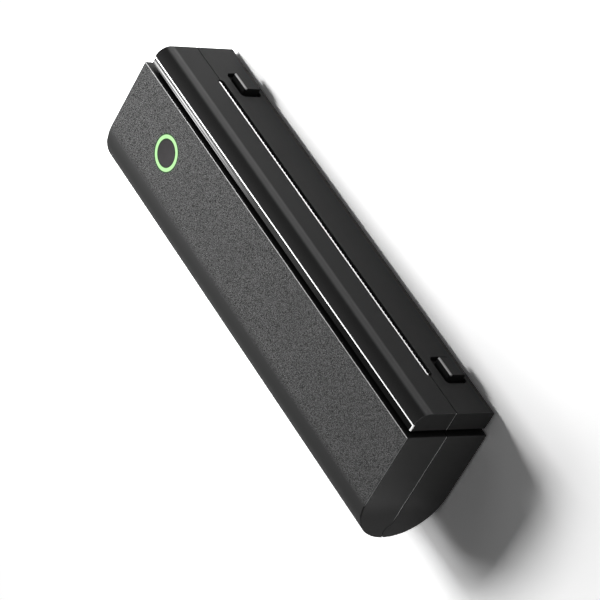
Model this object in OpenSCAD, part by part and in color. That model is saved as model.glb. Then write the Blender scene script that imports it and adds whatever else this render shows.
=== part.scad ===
// A4 portable thermal printer with a drop in roll bay behind a hinged top.
// The top carries the platen roller and the tear bar. The base carries the print head, the drive,
// the battery and the boards. Two push tabs on the front let the top go.
// +X runs along the printer, +Y points to the rounded back, +Z points up.

/* [Casing] */
// Length of the casing from end to end
case_l = 270; // [268:1:330]
// Thickness of the casing, which is also the width of the round back
case_t = 50; // [50:1:62]
// Depth of the flat part, from the front edge to the centre of the round back
case_flat = 42; // [42:1:54]
// Wall of the two casing shells
shell_wall = 2.2; // [1.8:0.1:2.6]
// Wall at the two ends of the casing
end_wall = 3; // [2.4:0.2:4]
// Open line between the two shells
seam_gap = 0.4; // [0.2:0.1:0.8]
// Round on the outer edges of the casing
edge_r = 0.6; // [0.3:0.1:1]
// Radius of the round ear in the seam near the back of each end
ear_r = 5.6; // [5:0.2:6.4]
// Distance from the back of the casing to the centre of the ear
ear_in = 4.5; // [4.2:0.1:5]
// Height of the ear's centre below the seam
ear_drop = 3.2; // [3:0.1:3.6]
// Clearance of the ear in its notch
ear_gap = 0.35; // [0.3:0.05:0.5]
// Thickness of the lips that locate the top on the base
lip_t = 1.2; // [1:0.1:1.6]
// How far the lips stand above the seam
lip_h = 2; // [1:0.5:3]
// Clearance of the lips inside the end walls of the top
lip_gap = 0.3; // [0.2:0.05:0.5]
// Thickness of the ribs inside the shells
rib_t = 1.4; // [1:0.1:1.8]
// Distance from rib to rib
rib_pitch = 36; // [30:1:36]
// Height of the ribs inside the top
rib_h = 2.6; // [1.5:0.1:3]

/* [Front head] */
// How far the head stands in front of the casing
head_d = 12.6; // [12:0.2:16]
// How far the head is set in at each end of the casing
head_end_in = 2.5; // [1:0.1:3]
// How far the head is set in below the top of the casing
head_top_in = 2.1; // [1:0.1:3]
// How far the head is set in above the underside of the casing
head_low_in = 1.2; // [0.6:0.1:2]
// Round along the top front edge of the head
head_round = 7; // [4:0.5:9]
// Round along the bottom front edge of the head
head_foot_round = 1.2; // [0.6:0.1:2]
// Width of the dark groove between the head and the casing
groove_w = 2; // [1:0.1:3]
// Depth of that groove
groove_depth = 4; // [2:0.5:5]
// Width of the frame that joins the head to the casing
neck_w = 5; // [4:0.5:6]
// Width of the bright trim strip on top of the head
trim_w = 3.9; // [3:0.1:5]
// Thickness of the trim strip
trim_t = 0.8; // [0.5:0.1:1]
// Width of the bright bead along the strip's front and ends
trim_bead = 0.8; // [0.5:0.1:1.2]
// Width of the line between the bead and the strip
trim_line = 0.35; // [0.2:0.05:0.6]
// Length of the paper slot
slot_l = 214; // [200:1:220]
// Height of the paper slot
slot_h = 3.6; // [3:0.2:6]

/* [Tear bar] */
// Thickness of the tear bar
bar_t = 1.4; // [1:0.1:2]
// Depth of the tear bar from its teeth to its back edge
bar_d = 8; // [6:0.5:9]
// Pitch of the tear teeth
tooth_pitch = 2.5; // [1.5:0.25:4]
// Depth of the tear teeth
tooth_d = 1.2; // [0.6:0.1:1.6]
// Set back of the teeth behind the front of the head
bar_set_back = 0.5; // [0.2:0.1:2]
// Height of the bar's middle above the seam
bar_up = 0.2; // [0:0.1:0.5]

/* [Latch tabs] */
// Distance of each tab from the middle of the printer
latch_x = 103.6; // [98:0.2:108]
// Width of the face that is pushed
tab_w = 12; // [10:0.5:14]
// Height of that face
tab_h = 10.2; // [7:0.2:11]
// Height of the middle of the face above the table
tab_z = 10.5; // [10:0.5:13]
// How far the face stands in front of the head
tab_out = 2.6; // [2.4:0.1:5]
// Width of the window around the tab
window_w = 18.2; // [15:0.2:19]
// Height of the window
window_h = 13; // [11:0.2:14]
// Height of the middle of the window above the table
window_z = 11.5; // [10:0.5:13]
// Round in the corners of the window
window_r = 2.5; // [1:0.5:4]
// Push travel of the tab
latch_travel = 2.2; // [1.8:0.1:2.4]
// Round on the edges of the pushed face
tab_r = 0.8; // [0.4:0.1:1.2]
// Thickness of the plate behind the window
latch_plate = 2; // [1.5:0.1:2.4]
// Thickness of the arm that carries the hook
latch_arm = 2.2; // [1.8:0.1:2.6]
// Width of that arm
arm_w = 4.5; // [3.5:0.5:5]
// Height of the hook nose
hook_h = 1.8; // [1.4:0.1:2]
// Height of the ledge that the hook holds
ledge_h = 1.8; // [1.4:0.1:2.2]
// Overlap of the hook and the ledge
hook_grip = 1.8; // [1:0.1:1.8]
// Radius of the latch springs, to the wire's centre
latch_spring_r = 2.2; // [1.8:0.1:2.6]

/* [Hinge] */
// Radius of the hinge pins
hinge_pin_r = 1.25; // [1:0.05:1.5]
// Radius of the hinge knuckles
knuckle_r = 2.6; // [2.4:0.1:3.2]
// Length of the knuckle on the top
knuckle_top_l = 14; // [10:1:20]
// Length of each of its two neighbours on the base
knuckle_base_l = 8; // [6:1:12]
// Distance of each hinge from the middle of the printer
hinge_x = 84; // [60:1:100]
// Depth of the hinge axis inside the back of the casing
hinge_in = 0.6; // [0.4:0.1:1]
// Gap at each end of a knuckle
knuckle_gap = 0.3; // [0.2:0.1:0.5]
// Clearance of a running pin or shaft in its bore, on the radius
run_gap = 0.06; // [0.03:0.01:0.1]

/* [Platen roller] */
// Radius of the rubber roller
platen_r = 6; // [5:0.5:6.5]
// Length of the rubber
platen_l = 214; // [200:1:220]
// Radius of the steel shaft in the roller
platen_shaft_r = 2.5; // [2:0.1:3]
// Distance of the roller's axis behind the front of the casing
platen_y = 3; // [2:0.5:5]
// Height of the paper path below the seam
nip_drop = 1.3; // [0.8:0.1:2]
// Outer radius of the shaft bushings
bushing_r = 4; // [3.4:0.1:4.5]
// Length of each bushing
bushing_l = 5.4; // [5:0.1:6]
// Running gap between the roller and the print head
nip_gap = 0.3; // [0.2:0.05:0.5]

/* [Gears] */
// Module of the gears
gear_m = 0.6; // [0.5:0.05:0.65]
// Teeth of the gear on the platen shaft
platen_teeth = 24; // [22:1:26]
// Teeth of the idler gear
idler_teeth = 22; // [20:1:24]
// Teeth of the motor pinion
pinion_teeth = 12; // [12:1:14]
// Width of the gears
gear_w = 4; // [3:0.5:5]
// Distance from the roller's left end to the middle of the gears
gear_out = 11.5; // [11:0.25:13]
// Radius of the pin that the idler runs on
idler_pin_r = 1.5; // [1.25:0.05:1.75]
// Depth of the recess in each side of a moulded gear
gear_recess = 0.8; // [0.4:0.1:1]
// Play between meshing teeth, along the pitch circle
backlash = 0.12; // [0.08:0.02:0.2]
// Largest lean of the line from the idler to the motor, below the level line
motor_lean = 32; // [26:1:36]

/* [Motor] */
// Radius of the stepper motor
motor_r = 8; // [7:0.25:8]
// Length of the motor can
motor_l = 16; // [12:1:18]
// Radius of the motor shaft
motor_shaft_r = 1; // [0.75:0.05:1.25]
// Radius of the motor's raised nose, which fills the bracket's hole
motor_nose_r = 3; // [2.5:0.1:3.5]
// Smallest gap under the motor
motor_gap = 0.3; // [0.2:0.1:0.6]
// Distance of the motor flange from the inner face of its side plate
motor_in = 14; // [13:1:16]
// Thickness of the motor bracket
motor_bracket_t = 1.2; // [1:0.1:1.6]

/* [Print head] */
// Length of the aluminium heat sink
sink_l = 212; // [200:1:214]
// Depth of the heat sink
sink_d = 16; // [14:0.5:17]
// Thickness of the heat sink
sink_t = 3; // [2.5:0.1:3.4]
// Distance of the sink's front edge in front of the casing
sink_out = 5; // [4:0.5:6]
// Thickness of the ceramic heater plate
plate_t = 1; // [0.6:0.1:1.2]
// Depth of the heater plate
plate_d = 9; // [7:0.5:10]
// Radius of the pivot pins of the head
head_pin_r = 1.5; // [1.25:0.05:1.75]
// Distance of the pivot behind the front of the casing
head_pin_y = 14; // [13.5:0.5:15]
// Height of the pivot above the underside of the heat sink
head_pin_up = 0.8; // [0.2:0.1:1]
// Width of each pivot lug
lug_w = 4; // [3:0.5:5]
// Width of the cable connector
connector_w = 20; // [16:1:22]
// Distance of each head spring from the middle of the printer
head_spring_x = 60; // [57:1:61]
// Radius of the head springs, to the wire's centre
head_spring_r = 2.1; // [1.6:0.1:2.3]
// Wire of the springs
spring_wire = 0.5; // [0.4:0.05:0.6]

/* [Side plates] */
// Thickness of the steel side plates
plate_steel_t = 1.2; // [1:0.1:1.4]
// Gap between the roller's end and the side plate
plate_gap = 2; // [1.6:0.2:2.4]
// Height of the foot of a side plate above the floor
chassis_up = 2.2; // [1.8:0.1:2.4]
// Width of the foot of a side plate
foot_tab_w = 8; // [6:0.5:10]
// Clearance of the bushing in the notch of the side plate
notch_gap = 0.3; // [0.2:0.05:0.5]
// Thickness of the brackets in the top
bracket_t = 2.2; // [1.8:0.1:2.4]
// Gap between a side plate and the bracket beside it
bracket_gap = 1.4; // [1:0.1:1.6]
// Thickness of the bracket's foot under the top
bracket_foot = 2; // [1.6:0.1:2.4]
// Drop of that foot below the inside of the top
bracket_drop = 4; // [3:0.5:5]
// Distance of the bracket's first screw behind the front of the casing
bracket_y1 = 6; // [5.5:0.5:7]
// Distance of its second screw behind the front of the casing
bracket_y2 = 18; // [16:0.5:19]

/* [Roll bay] */
// Inner radius of the paper tray
bay_r = 18.2; // [16:0.2:18.4]
// Wall of the paper tray
tray_wall = 1.2; // [0.9:0.1:1.4]
// Inner length of the tray between its ends
bay_l = 214; // [212:1:216]
// Gap between the tray and the back of the casing
tray_gap = 0.4; // [0.3:0.1:0.8]
// Clearance between the tray and the ribs that it rests in
saddle_gap = 0.3; // [0.1:0.05:0.4]
// Drop of the tray's front apron below the paper path
apron_drop = 0.5; // [0.3:0.1:0.8]

/* [Battery] */
// Radius of a battery cell
cell_r = 9.1; // [8.9:0.1:9.2]
// Length of a battery cell
cell_l = 65; // [64:0.5:66]
// Distance of the cells' axis behind the front of the casing
cell_y = 17; // [16.6:0.2:17.4]
// Gap of the cells' left end from the motor
cell_motor_gap = 2.5; // [2:0.5:3]
// Gap between the two cells
cell_gap = 1; // [0.5:0.1:1.5]
// Wall of the battery cradle
cradle_t = 1.2; // [1:0.1:1.4]

/* [Boards] */
// Thickness of the circuit boards
board_t = 1.6; // [1:0.1:1.6]
// Length of the main board
board_l = 40; // [34:1:42]
// Depth of the main board
board_d = 26; // [22:1:28]
// Height of the boards above the inside of the floor
board_up = 3; // [2.5:0.5:4]
// Distance of the boards behind the front of the casing
board_y = 7; // [7:0.5:9]
// Gap between the right side plate and the charging board
charge_gap = 4.2; // [3.8:0.2:5]
// Width of the charging socket
usb_w = 9; // [8.8:0.1:9.2]
// Height of the charging socket
usb_h = 3.2; // [3:0.1:3.4]
// Depth of the charging socket
usb_d = 7.4; // [7:0.2:8]
// Distance of the socket behind the front of the casing
usb_y = 17; // [12:0.5:24]
// Distance of the cover sensor's flag from the bracket that carries it
flag_out = 5.6; // [5.4:0.1:6]
// Thickness of that flag
flag_t = 1; // [0.6:0.1:1.2]

/* [Power button] */
// Distance of the button from the middle of the printer
button_x = 90.6; // [80:0.2:94]
// Distance of the button behind the front of the casing
button_y = 22.5; // [20:0.5:26]
// Radius of the light ring
ring_r = 10; // [9:0.2:11]
// Radius of the button cap
cap_r = 6.9; // [6:0.1:7.5]
// Gap around the button cap
cap_gap = 0.25; // [0.15:0.05:0.4]
// Depth of the dish in the button cap
cap_dish = 0.3; // [0.1:0.05:0.5]
// Travel of the button
cap_travel = 0.7; // [0.4:0.1:0.8]
// Depth of the button board below the top wall
switch_drop = 7; // [6.8:0.1:8]
// Width of the button board
switch_board_w = 36; // [35:1:38]
// Depth of the button board
switch_board_d = 20; // [18:1:22]

/* [Fasteners] */
// Radius of the screw shanks
screw_r = 1; // [0.8:0.05:1.2]
// Radius of the screw heads
screw_head_r = 1.9; // [1.7:0.1:2.1]
// Height of the screw heads
screw_head_h = 1.2; // [1:0.1:1.4]
// Length of the screw shanks
screw_l = 4.4; // [4:0.2:5]
// Wall around a screw in a boss
boss_wall = 1.5; // [1.2:0.1:1.8]

/* [Feet] */
// Radius of the rubber feet
foot_r = 5; // [4:0.5:6]
// Height of the feet below the underside
foot_h = 0.8; // [0.6:0.1:1.2]
// Depth of the recess that each foot sits in
foot_sink = 0.8; // [0.6:0.1:1]
// Distance of the feet from the ends of the casing
foot_end = 14; // [10:1:20]
// Distance of the front feet behind the front of the casing
foot_front = 6; // [6:1:10]
// Distance of the back feet in front of the round back
foot_back = 4; // [0:1:8]

/* [Hidden] */
$fn = 64;
eps = 0.01;

// Heights and depths that follow from the sizes above. Depths are measured from the casing's front.
seam_z = case_t / 2;
nose_r = case_t / 2;
back_y = case_flat + nose_r;
half_l = case_l / 2;
head_half = half_l - head_end_in;
head_top = case_t - head_top_in;
hinge_y = back_y - hinge_in;
ear_y = back_y - ear_in;
ear_z = seam_z - ear_drop;
low_seam = seam_z - seam_gap / 2;
high_seam = seam_z + seam_gap / 2;

// The row's origin is the middle of the whole printer, on the table.
reach_front = head_d + tab_out;
reach_back = hinge_y + knuckle_r;
shift_y = (reach_front - reach_back) / 2;

nip_z = seam_z - nip_drop;
platen_z = nip_z + platen_r;
plate_in = platen_l / 2 + plate_gap;
plate_out = plate_in + plate_steel_t;
bracket_in = plate_out + bracket_gap;
bracket_out = bracket_in + bracket_t;
bushing_x = plate_in - 0.4;

// Centre distances of the two gear pairs. The idler lies where the platen gear leaves it squarely,
// and the motor lies as low as its lean and the floor let it.
mesh_1 = gear_m * (platen_teeth + idler_teeth) / 2;
mesh_2 = gear_m * (idler_teeth + pinion_teeth) / 2;
leave_angle = atan2(platen_z - seam_z, hinge_y - platen_y);
dir_1 = 270 - leave_angle;
idler_y = platen_y + mesh_1 * cos(dir_1);
idler_z = platen_z + mesh_1 * sin(dir_1);
motor_low_z = shell_wall + motor_gap + motor_r;
lean = min(motor_lean, asin(min(1, (idler_z - motor_low_z) / mesh_2)));
dir_2 = 360 - lean;
motor_y = idler_y + mesh_2 * cos(dir_2);
motor_z = idler_z + mesh_2 * sin(dir_2);
platen_turn = dir_1;
idler_turn = dir_1 + 180 + 180 / idler_teeth;
pinion_turn = dir_2 + 180 - (idler_turn - dir_2) * idler_teeth / pinion_teeth + 180 / pinion_teeth;
gear_x = -platen_l / 2 - gear_out;
motor_face = -plate_in + motor_in;

// The print head lies under the roller.
heater_top = nip_z - nip_gap;
sink_top = heater_top - plate_t;
sink_low = sink_top - sink_t;
head_pin_z = sink_low + head_pin_up;
lug_r = head_pin_r + 1.2;
lug_out = plate_in - 0.8;
head_seat_z = shell_wall + 6;

bay_y = back_y - shell_wall - tray_gap - tray_wall - bay_r;
bay_z = seam_z - 0.4;
tray_back_drop = knuckle_r + 1.4;
tray_half = bay_l / 2 + tray_wall;
apron_top = nip_z - apron_drop;
apron_half = lug_out - lug_w - 1;
apron_front = sink_d - sink_out + 0.6;
cell_z = shell_wall + 0.3 + cell_r;
cell_start = motor_face + motor_l + cell_motor_gap;
cell_end = cell_start + 2 * cell_l + cell_gap;
board_z = shell_wall + board_up;
board_x = head_spring_x;
charge_x = plate_out + charge_gap;
charge_l = half_l - end_wall - 0.6 - charge_x;
usb_x = half_l - 0.4 - usb_d;
usb_z = board_z + board_t + usb_h / 2;
connector_x = board_x + 8;
sensor_x = bracket_out + flag_out;
sensor_y = board_y + 14;

fascia_in = head_d - shell_wall;
latch_back = fascia_in - 0.2;
latch_rear = latch_back - latch_plate;
arm_x = plate_out + 0.8;
arm_y = -fascia_in + hook_grip + 0.7;
ledge_z = high_seam + 2.4;
hook_z = ledge_z + ledge_h + 0.2;
spring_post_y = 0.2;
latch_spring_l = latch_rear + spring_post_y;

bar_z = seam_z + bar_up;
bar_front = head_d - bar_set_back;
top_in = case_t - shell_wall;
switch_z = top_in - switch_drop;
post_x = switch_board_w / 2 - 3;
frame_in = head_end_in + groove_depth + neck_w;
frame_low = frame_in - 3;
latch_spring_z = max(tab_z, frame_low + latch_spring_r + spring_wire);
boss_r = screw_r + boss_wall;
chassis_y1 = shell_wall + boss_r + 0.6;
chassis_y2 = head_pin_y + 3;
neck_screw_x = half_l - frame_in + neck_w / 2;
bracket_seat = top_in - bracket_drop - bracket_foot;
rib_places = [for (i = [-2 : 2]) i * rib_pitch];

// Small helpers. A profile is drawn with Y to the right and Z up, and runs along X.
module placed() translate([0, shift_y, foot_h]) children();
module along_x(length, middle = 0)
    translate([middle, 0, 0]) rotate([90, 0, 90]) linear_extrude(height = length, center = true) children();
module block(x0, x1, y0, y1, z0, z1) translate([x0, y0, z0]) cube([x1 - x0, y1 - y0, z1 - z0]);
module rod_x(r, x0, x1, y, z) translate([x0, y, z]) rotate([0, 90, 0]) cylinder(r = r, h = x1 - x0);
module rod_y(r, y0, y1, x, z) translate([x, y0, z]) rotate([-90, 0, 0]) cylinder(r = r, h = y1 - y0);
module rod_z(r, z0, z1, x, y) translate([x, y, z0]) cylinder(r = r, h = z1 - z0);
module both_ends() {
    children();
    mirror([1, 0, 0]) children();
}
module round_rect(w, h, r) {
    square([w - 2 * r, h], center = true);
    square([w, h - 2 * r], center = true);
    for (sx = [-1, 1], sy = [-1, 1])
        translate([sx * (w / 2 - r), sy * (h / 2 - r)]) circle(r);
}

// A pan head screw that points down its own Z axis, with its seat at z = 0.
module screw() {
    translate([0, 0, -screw_l]) cylinder(r = screw_r, h = screw_l + eps);
    difference() {
        cylinder(r = screw_head_r, h = screw_head_h);
        for (a = [0, 90])
            rotate([0, 0, a]) translate([-screw_head_r * 0.6, -0.25, screw_head_h - 0.5])
                cube([screw_head_r * 1.2, 0.5, 1]);
    }
}

// The post under a screwed part, seen from the screw's seat: it starts a gap below and goes on down.
module post_below(gap, height) translate([0, 0, -gap - height - eps])
    cylinder(r = boss_r, h = height + eps);

// The casing seen from its end: flat in front and half round at the back.
module case_outline(inset = 0) {
    translate([inset, inset]) square([case_flat - inset, case_t - 2 * inset]);
    translate([case_flat, nose_r]) circle(nose_r - inset);
}

// The casing as a solid. Its flat part is rounded along every outer edge, by its outline from the end,
// from the front and from above, and its back is a short drum with round rims.
module case_form() {
    intersection() {
        along_x(case_l) translate([case_flat / 2, case_t / 2])
            intersection() {
                translate([edge_r, 0]) round_rect(case_flat + 2 * edge_r, case_t, edge_r);
                square([case_flat, case_t], center = true);
            }
        translate([0, case_flat, nose_r]) rotate([90, 0, 0])
            linear_extrude(height = case_flat) round_rect(case_l, case_t, edge_r);
        linear_extrude(height = case_t) translate([0, case_flat / 2 + edge_r])
            round_rect(case_l, case_flat + 2 * edge_r, edge_r);
    }
    intersection() {
        translate([0, case_flat, nose_r]) rotate([0, 90, 0]) rotate_extrude($fn = 128)
            intersection() {
                round_rect(2 * nose_r, case_l, edge_r);
                translate([0, -half_l]) square([nose_r, case_l]);
            }
        block(-half_l - 1, half_l + 1, case_flat, back_y + 1, -1, case_t + 1);
    }
}

// The head seen from its end, with its large top round and its small foot round.
module head_outline(inset = 0) {
    r = max(head_round - inset, 0.5);
    f = max(head_foot_round - inset, 0.4);
    low = head_low_in + inset;
    high = head_top - inset;
    front = -head_d + inset;
    intersection() {
        union() {
            translate([front, low + f]) square([head_d, high - low - f - r]);
            translate([front + r, high - r - eps]) square([head_d, r + eps]);
            translate([front + f, low]) square([head_d, f + eps]);
            translate([front + r, high - r]) circle(r);
            translate([front + f, low + f]) circle(f);
        }
        translate([-head_d - 1, -1]) square([head_d + 1 - groove_w, case_t + 2]);
    }
}
module below_seam() translate([-head_d - 5, -5]) square([head_d + back_y + 10, low_seam + 5]);
module above_seam() translate([-head_d - 5, high_seam]) square([head_d + back_y + 10, case_t]);

// One half of the casing: closed ends, an open front with a narrow frame, and the seam side open.
module casing_half(upper) {
    difference() {
        intersection() {
            case_form();
            along_x(case_l + 2) if (upper) above_seam(); else below_seam();
        }
        along_x(case_l - 2 * end_wall) case_outline(shell_wall);
        block(-half_l + frame_in, half_l - frame_in, -1, shell_wall + 1,
            frame_low, case_t - frame_low);
    }
}

// The round ear of the base, or the notch for it in the top.
module ear() intersection() {
    both_ends() rod_x(ear_r, half_l - end_wall, half_l, ear_y, ear_z);
    case_form();
}
module ear_notch() both_ends()
    rod_x(ear_r + ear_gap, half_l - end_wall - 1, half_l + 1, ear_y, ear_z);

// Lips inside the end walls of the base. They stand up into the top and locate it.
module seam_lips() both_ends() {
    x1 = half_l - end_wall - lip_gap;
    block(x1 - lip_t, x1, 6, case_flat + 8, low_seam - 5, high_seam + lip_h);
    block(x1 - lip_t, half_l - end_wall + eps, 6, case_flat + 8, low_seam - 5, low_seam - 1);
}

// Ribs under the paper tray, cut out to its round, and ribs that stiffen the top above the roll.
module saddle_ribs() for (x = rib_places) along_x(rib_t, x) difference() {
    intersection() {
        case_outline(shell_wall - 0.1);
        translate([bay_y - 10, 0]) square([back_y, bay_z - tray_back_drop - 2]);
    }
    translate([bay_y, bay_z]) circle(bay_r + tray_wall + saddle_gap);
}
module top_ribs() for (x = rib_places) along_x(rib_t, x) difference() {
    intersection() {
        case_outline(shell_wall - 0.1);
        translate([case_flat - 12, high_seam + 8]) square([back_y, case_t]);
    }
    case_outline(shell_wall + rib_h);
}

// Hinge knuckles. The middle one belongs to the top and its two neighbours to the base.
module knuckle_middle(gap = 0) both_ends()
    rod_x(knuckle_r + gap, hinge_x - knuckle_top_l / 2 - gap, hinge_x + knuckle_top_l / 2 + gap,
        hinge_y, seam_z);
module knuckle_sides(gap = 0) both_ends() for (s = [-1, 1]) {
    c = hinge_x + s * (knuckle_top_l / 2 + knuckle_gap + knuckle_base_l / 2);
    rod_x(knuckle_r + gap, c - knuckle_base_l / 2 - gap, c + knuckle_base_l / 2 + gap, hinge_y, seam_z);
}
module hinge_bores(r) both_ends() {
    reach = knuckle_top_l / 2 + knuckle_base_l + 2;
    rod_x(r, hinge_x - reach, hinge_x + reach, hinge_y, seam_z);
}

// Places of the screws, so that a screw and its hole share one point.
module at_chassis() both_ends() for (y = [chassis_y1, chassis_y2])
    translate([plate_in - foot_tab_w / 2, y, shell_wall + chassis_up]) children();
module at_main_board() for (dx = [3, board_l - 3], dy = [3, board_d - 3])
    translate([board_x + dx, board_y + dy, board_z + board_t]) children();
module at_charge_board() for (dy = [3, board_d - 3])
    translate([charge_x + 3, board_y + dy, board_z + board_t]) children();
module at_low_neck() both_ends()
    translate([neck_screw_x, shell_wall, low_seam - 7]) rotate([-90, 0, 0]) children();
module at_high_neck() both_ends()
    translate([neck_screw_x, shell_wall, high_seam + 7]) rotate([-90, 0, 0]) children();
module at_bracket() both_ends() for (y = [bracket_y1, bracket_y2])
    translate([bracket_out + 3, y, bracket_seat]) rotate([180, 0, 0]) children();
module at_switch() for (s = [-1, 1])
    translate([button_x + s * post_x, button_y, switch_z]) rotate([180, 0, 0]) children();

// Lower casing: floor, round back, bosses, posts and the outer hinge knuckles.
module base_shell() color([0.2, 0.2, 0.2]) placed() difference() {
    union() {
        difference() {
            casing_half(false);
            knuckle_middle(knuckle_gap);
            rod_x(1, -half_l - 1, half_l + 1, hinge_y, seam_z);
        }
        ear();
        seam_lips();
        saddle_ribs();
        knuckle_sides();
        at_chassis() post_below(0, chassis_up);
        at_main_board() post_below(board_t, board_up);
        at_charge_board() post_below(board_t, board_up);
        difference() {
            both_ends() rod_z(head_spring_r + 1.4, shell_wall - eps, head_seat_z, head_spring_x, platen_y);
            block(-half_l, half_l, -groove_w - 4, 0.1, 0, seam_z);
        }
        both_ends() block(latch_x - 4, latch_x + 4, spring_post_y, spring_post_y + shell_wall, 1, tab_z + 4);
    }
    hinge_bores(hinge_pin_r);
    at_chassis() translate([0, 0, plate_steel_t - screw_l - 0.2]) cylinder(r = screw_r, h = screw_l);
    at_main_board() translate([0, 0, -screw_l]) cylinder(r = screw_r, h = screw_l + 1);
    at_charge_board() translate([0, 0, -screw_l]) cylinder(r = screw_r, h = screw_l + 1);
    at_low_neck() translate([0, 0, -screw_l - 4]) cylinder(r = screw_r, h = screw_l + 5);
    translate([0, usb_y, usb_z]) along_x(20, half_l) round_rect(usb_w + 0.6, usb_h + 0.6, usb_h / 2);
    for (x = [-1, 1], y = [foot_front, case_flat - foot_back])
        rod_z(foot_r + 0.1, -1, foot_sink, x * (half_l - foot_end), y);
    rod_x(gear_m * (idler_teeth / 2 + 1) + 0.2, gear_x - gear_w / 2 - 0.5, gear_x + gear_w / 2 + 0.5,
        idler_y, idler_z);
}

// The frame that carries a head half on the casing, and the screws' pilot holes in it.
module neck_frame() difference() {
    block(-head_half + groove_depth, head_half - groove_depth, -groove_w - 2, 0,
        head_low_in + groove_depth, head_top - groove_depth);
    block(-half_l + frame_in, half_l - frame_in, -groove_w - 3, 1, frame_low, case_t - frame_low);
}
module head_block(upper) {
    difference() {
        union() {
            difference() {
                along_x(2 * head_half) head_outline();
                along_x(2 * (head_half - shell_wall)) difference() {
                    head_outline(shell_wall);
                    translate([-groove_w - 1.8, -1]) square([5, case_t + 2]);
                }
                block(-half_l + frame_in, half_l - frame_in, -groove_w - 4, 1,
                    frame_low, case_t - frame_low);
            }
            neck_frame();
        }
        slot_cut();
        if (upper) block(-half_l, half_l, -head_d - 1, 1, -1, high_seam);
        else block(-half_l, half_l, -head_d - 1, 1, low_seam, case_t + 1);
    }
}
module slot_cut() translate([0, -fascia_in + 0.5, seam_z]) rotate([90, 0, 0])
    linear_extrude(height = head_d) round_rect(slot_l, slot_h, slot_h / 2 - 0.01);

// Lower half of the head, with the two windows and the shelf under the paper.
module lower_fascia() color([0.22, 0.22, 0.22]) placed() difference() {
    union() {
        head_block(false);
        block(-slot_l / 2, slot_l / 2, -fascia_in - 0.5, -sink_out - 1.2,
            seam_z - slot_h / 2 - 1.4, seam_z - slot_h / 2);
    }
    both_ends() translate([latch_x, -head_d - 1, window_z]) rotate([-90, 0, 0])
        linear_extrude(height = shell_wall + 2) round_rect(window_w, window_h, window_r);
    at_low_neck() translate([0, 0, -screw_l - 4]) cylinder(r = screw_r, h = screw_l + 5);
    paper_sensor_body(0.1);
}

// Steel side plate: a foot with two holes, the head's pivot, and a notch for the bushing.
module side_plate_flat() difference() {
    polygon([
        [chassis_y1 - 2.6, shell_wall + chassis_up], [head_pin_y + 6, shell_wall + chassis_up],
        [head_pin_y + 6, head_pin_z + 3.6], [platen_y + bushing_r + 3.2, head_pin_z + 3.6],
        [platen_y + bushing_r + 2.4, platen_z + 1.6], [platen_y - bushing_r - 1.6, platen_z + 1.6],
        [platen_y - bushing_r - 1.6, frame_low + 0.8], [chassis_y1 - 2.6, frame_low + 0.8]
    ]);
    translate([platen_y, platen_z]) circle(bushing_r + notch_gap);
    translate([platen_y - bushing_r - notch_gap, platen_z]) square([2 * (bushing_r + notch_gap), 5]);
    translate([head_pin_y, head_pin_z]) circle(head_pin_r);
}
module side_plate() difference() {
    union() {
        along_x(plate_steel_t, (plate_in + plate_out) / 2) side_plate_flat();
        block(plate_in - foot_tab_w, plate_out, chassis_y1 - 2.6, chassis_y2 + 2.6,
            shell_wall + chassis_up, shell_wall + chassis_up + plate_steel_t);
    }
    for (y = [chassis_y1, chassis_y2])
        rod_z(screw_r + 0.15, 0, 20, plate_in - foot_tab_w / 2, y);
}
module side_plate_right() color([0.75, 0.76, 0.78]) placed() side_plate();
module side_plate_left() color([0.75, 0.76, 0.78]) placed() difference() {
    mirror([1, 0, 0]) side_plate();
    rod_x(idler_pin_r, -plate_in - 3, -plate_in + 1, idler_y, idler_z);
    rod_x(motor_shaft_r + 0.5, -plate_in - 3, -plate_in + 1, motor_y, motor_z);
}

// Bent sheet that holds the motor behind the left side plate.
module motor_bracket() color([0.72, 0.73, 0.75]) placed() {
    web_y = head_pin_y + 5.2;
    difference() {
        union() {
            block(motor_face - motor_bracket_t, motor_face, motor_y - motor_r, web_y + motor_bracket_t,
                shell_wall + 0.4, motor_z + motor_r);
            block(-plate_in, motor_face, web_y, web_y + motor_bracket_t,
                shell_wall + chassis_up + plate_steel_t + 0.4, motor_z + motor_r);
        }
        rod_x(motor_nose_r, motor_face - 3, motor_face + 1, motor_y, motor_z);
        at_motor() translate([0, 0, -5]) cylinder(r = screw_r + 0.1, h = 10);
    }
}
module at_motor() for (s = [-1, 1])
    translate([motor_face - motor_bracket_t, motor_y, motor_z + s * 5.4]) rotate([0, -90, 0]) children();
module motor_screws() color([0.8, 0.8, 0.8]) placed() at_motor() screw();

// Stepper motor: a can with a raised nose, an end cap and its wire outlet.
module motor() color([0.55, 0.56, 0.58]) placed() difference() {
    union() {
        rod_x(motor_r, motor_face, motor_face + motor_l - 1, motor_y, motor_z);
        rod_x(motor_r - 1, motor_face, motor_face + motor_l, motor_y, motor_z);
        rod_x(motor_nose_r - 0.1, motor_face - motor_bracket_t - 0.6, motor_face + 1, motor_y, motor_z);
    }
    rod_x(motor_shaft_r + run_gap, motor_face - 4, motor_face + 7, motor_y, motor_z);
    at_motor() translate([0, 0, -screw_l - 0.4]) cylinder(r = screw_r, h = 10);
}
module motor_shaft() color([0.8, 0.8, 0.82]) placed()
    rod_x(motor_shaft_r, gear_x - gear_w / 2 - 0.5, motor_face + 6, motor_y, motor_z);

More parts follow.
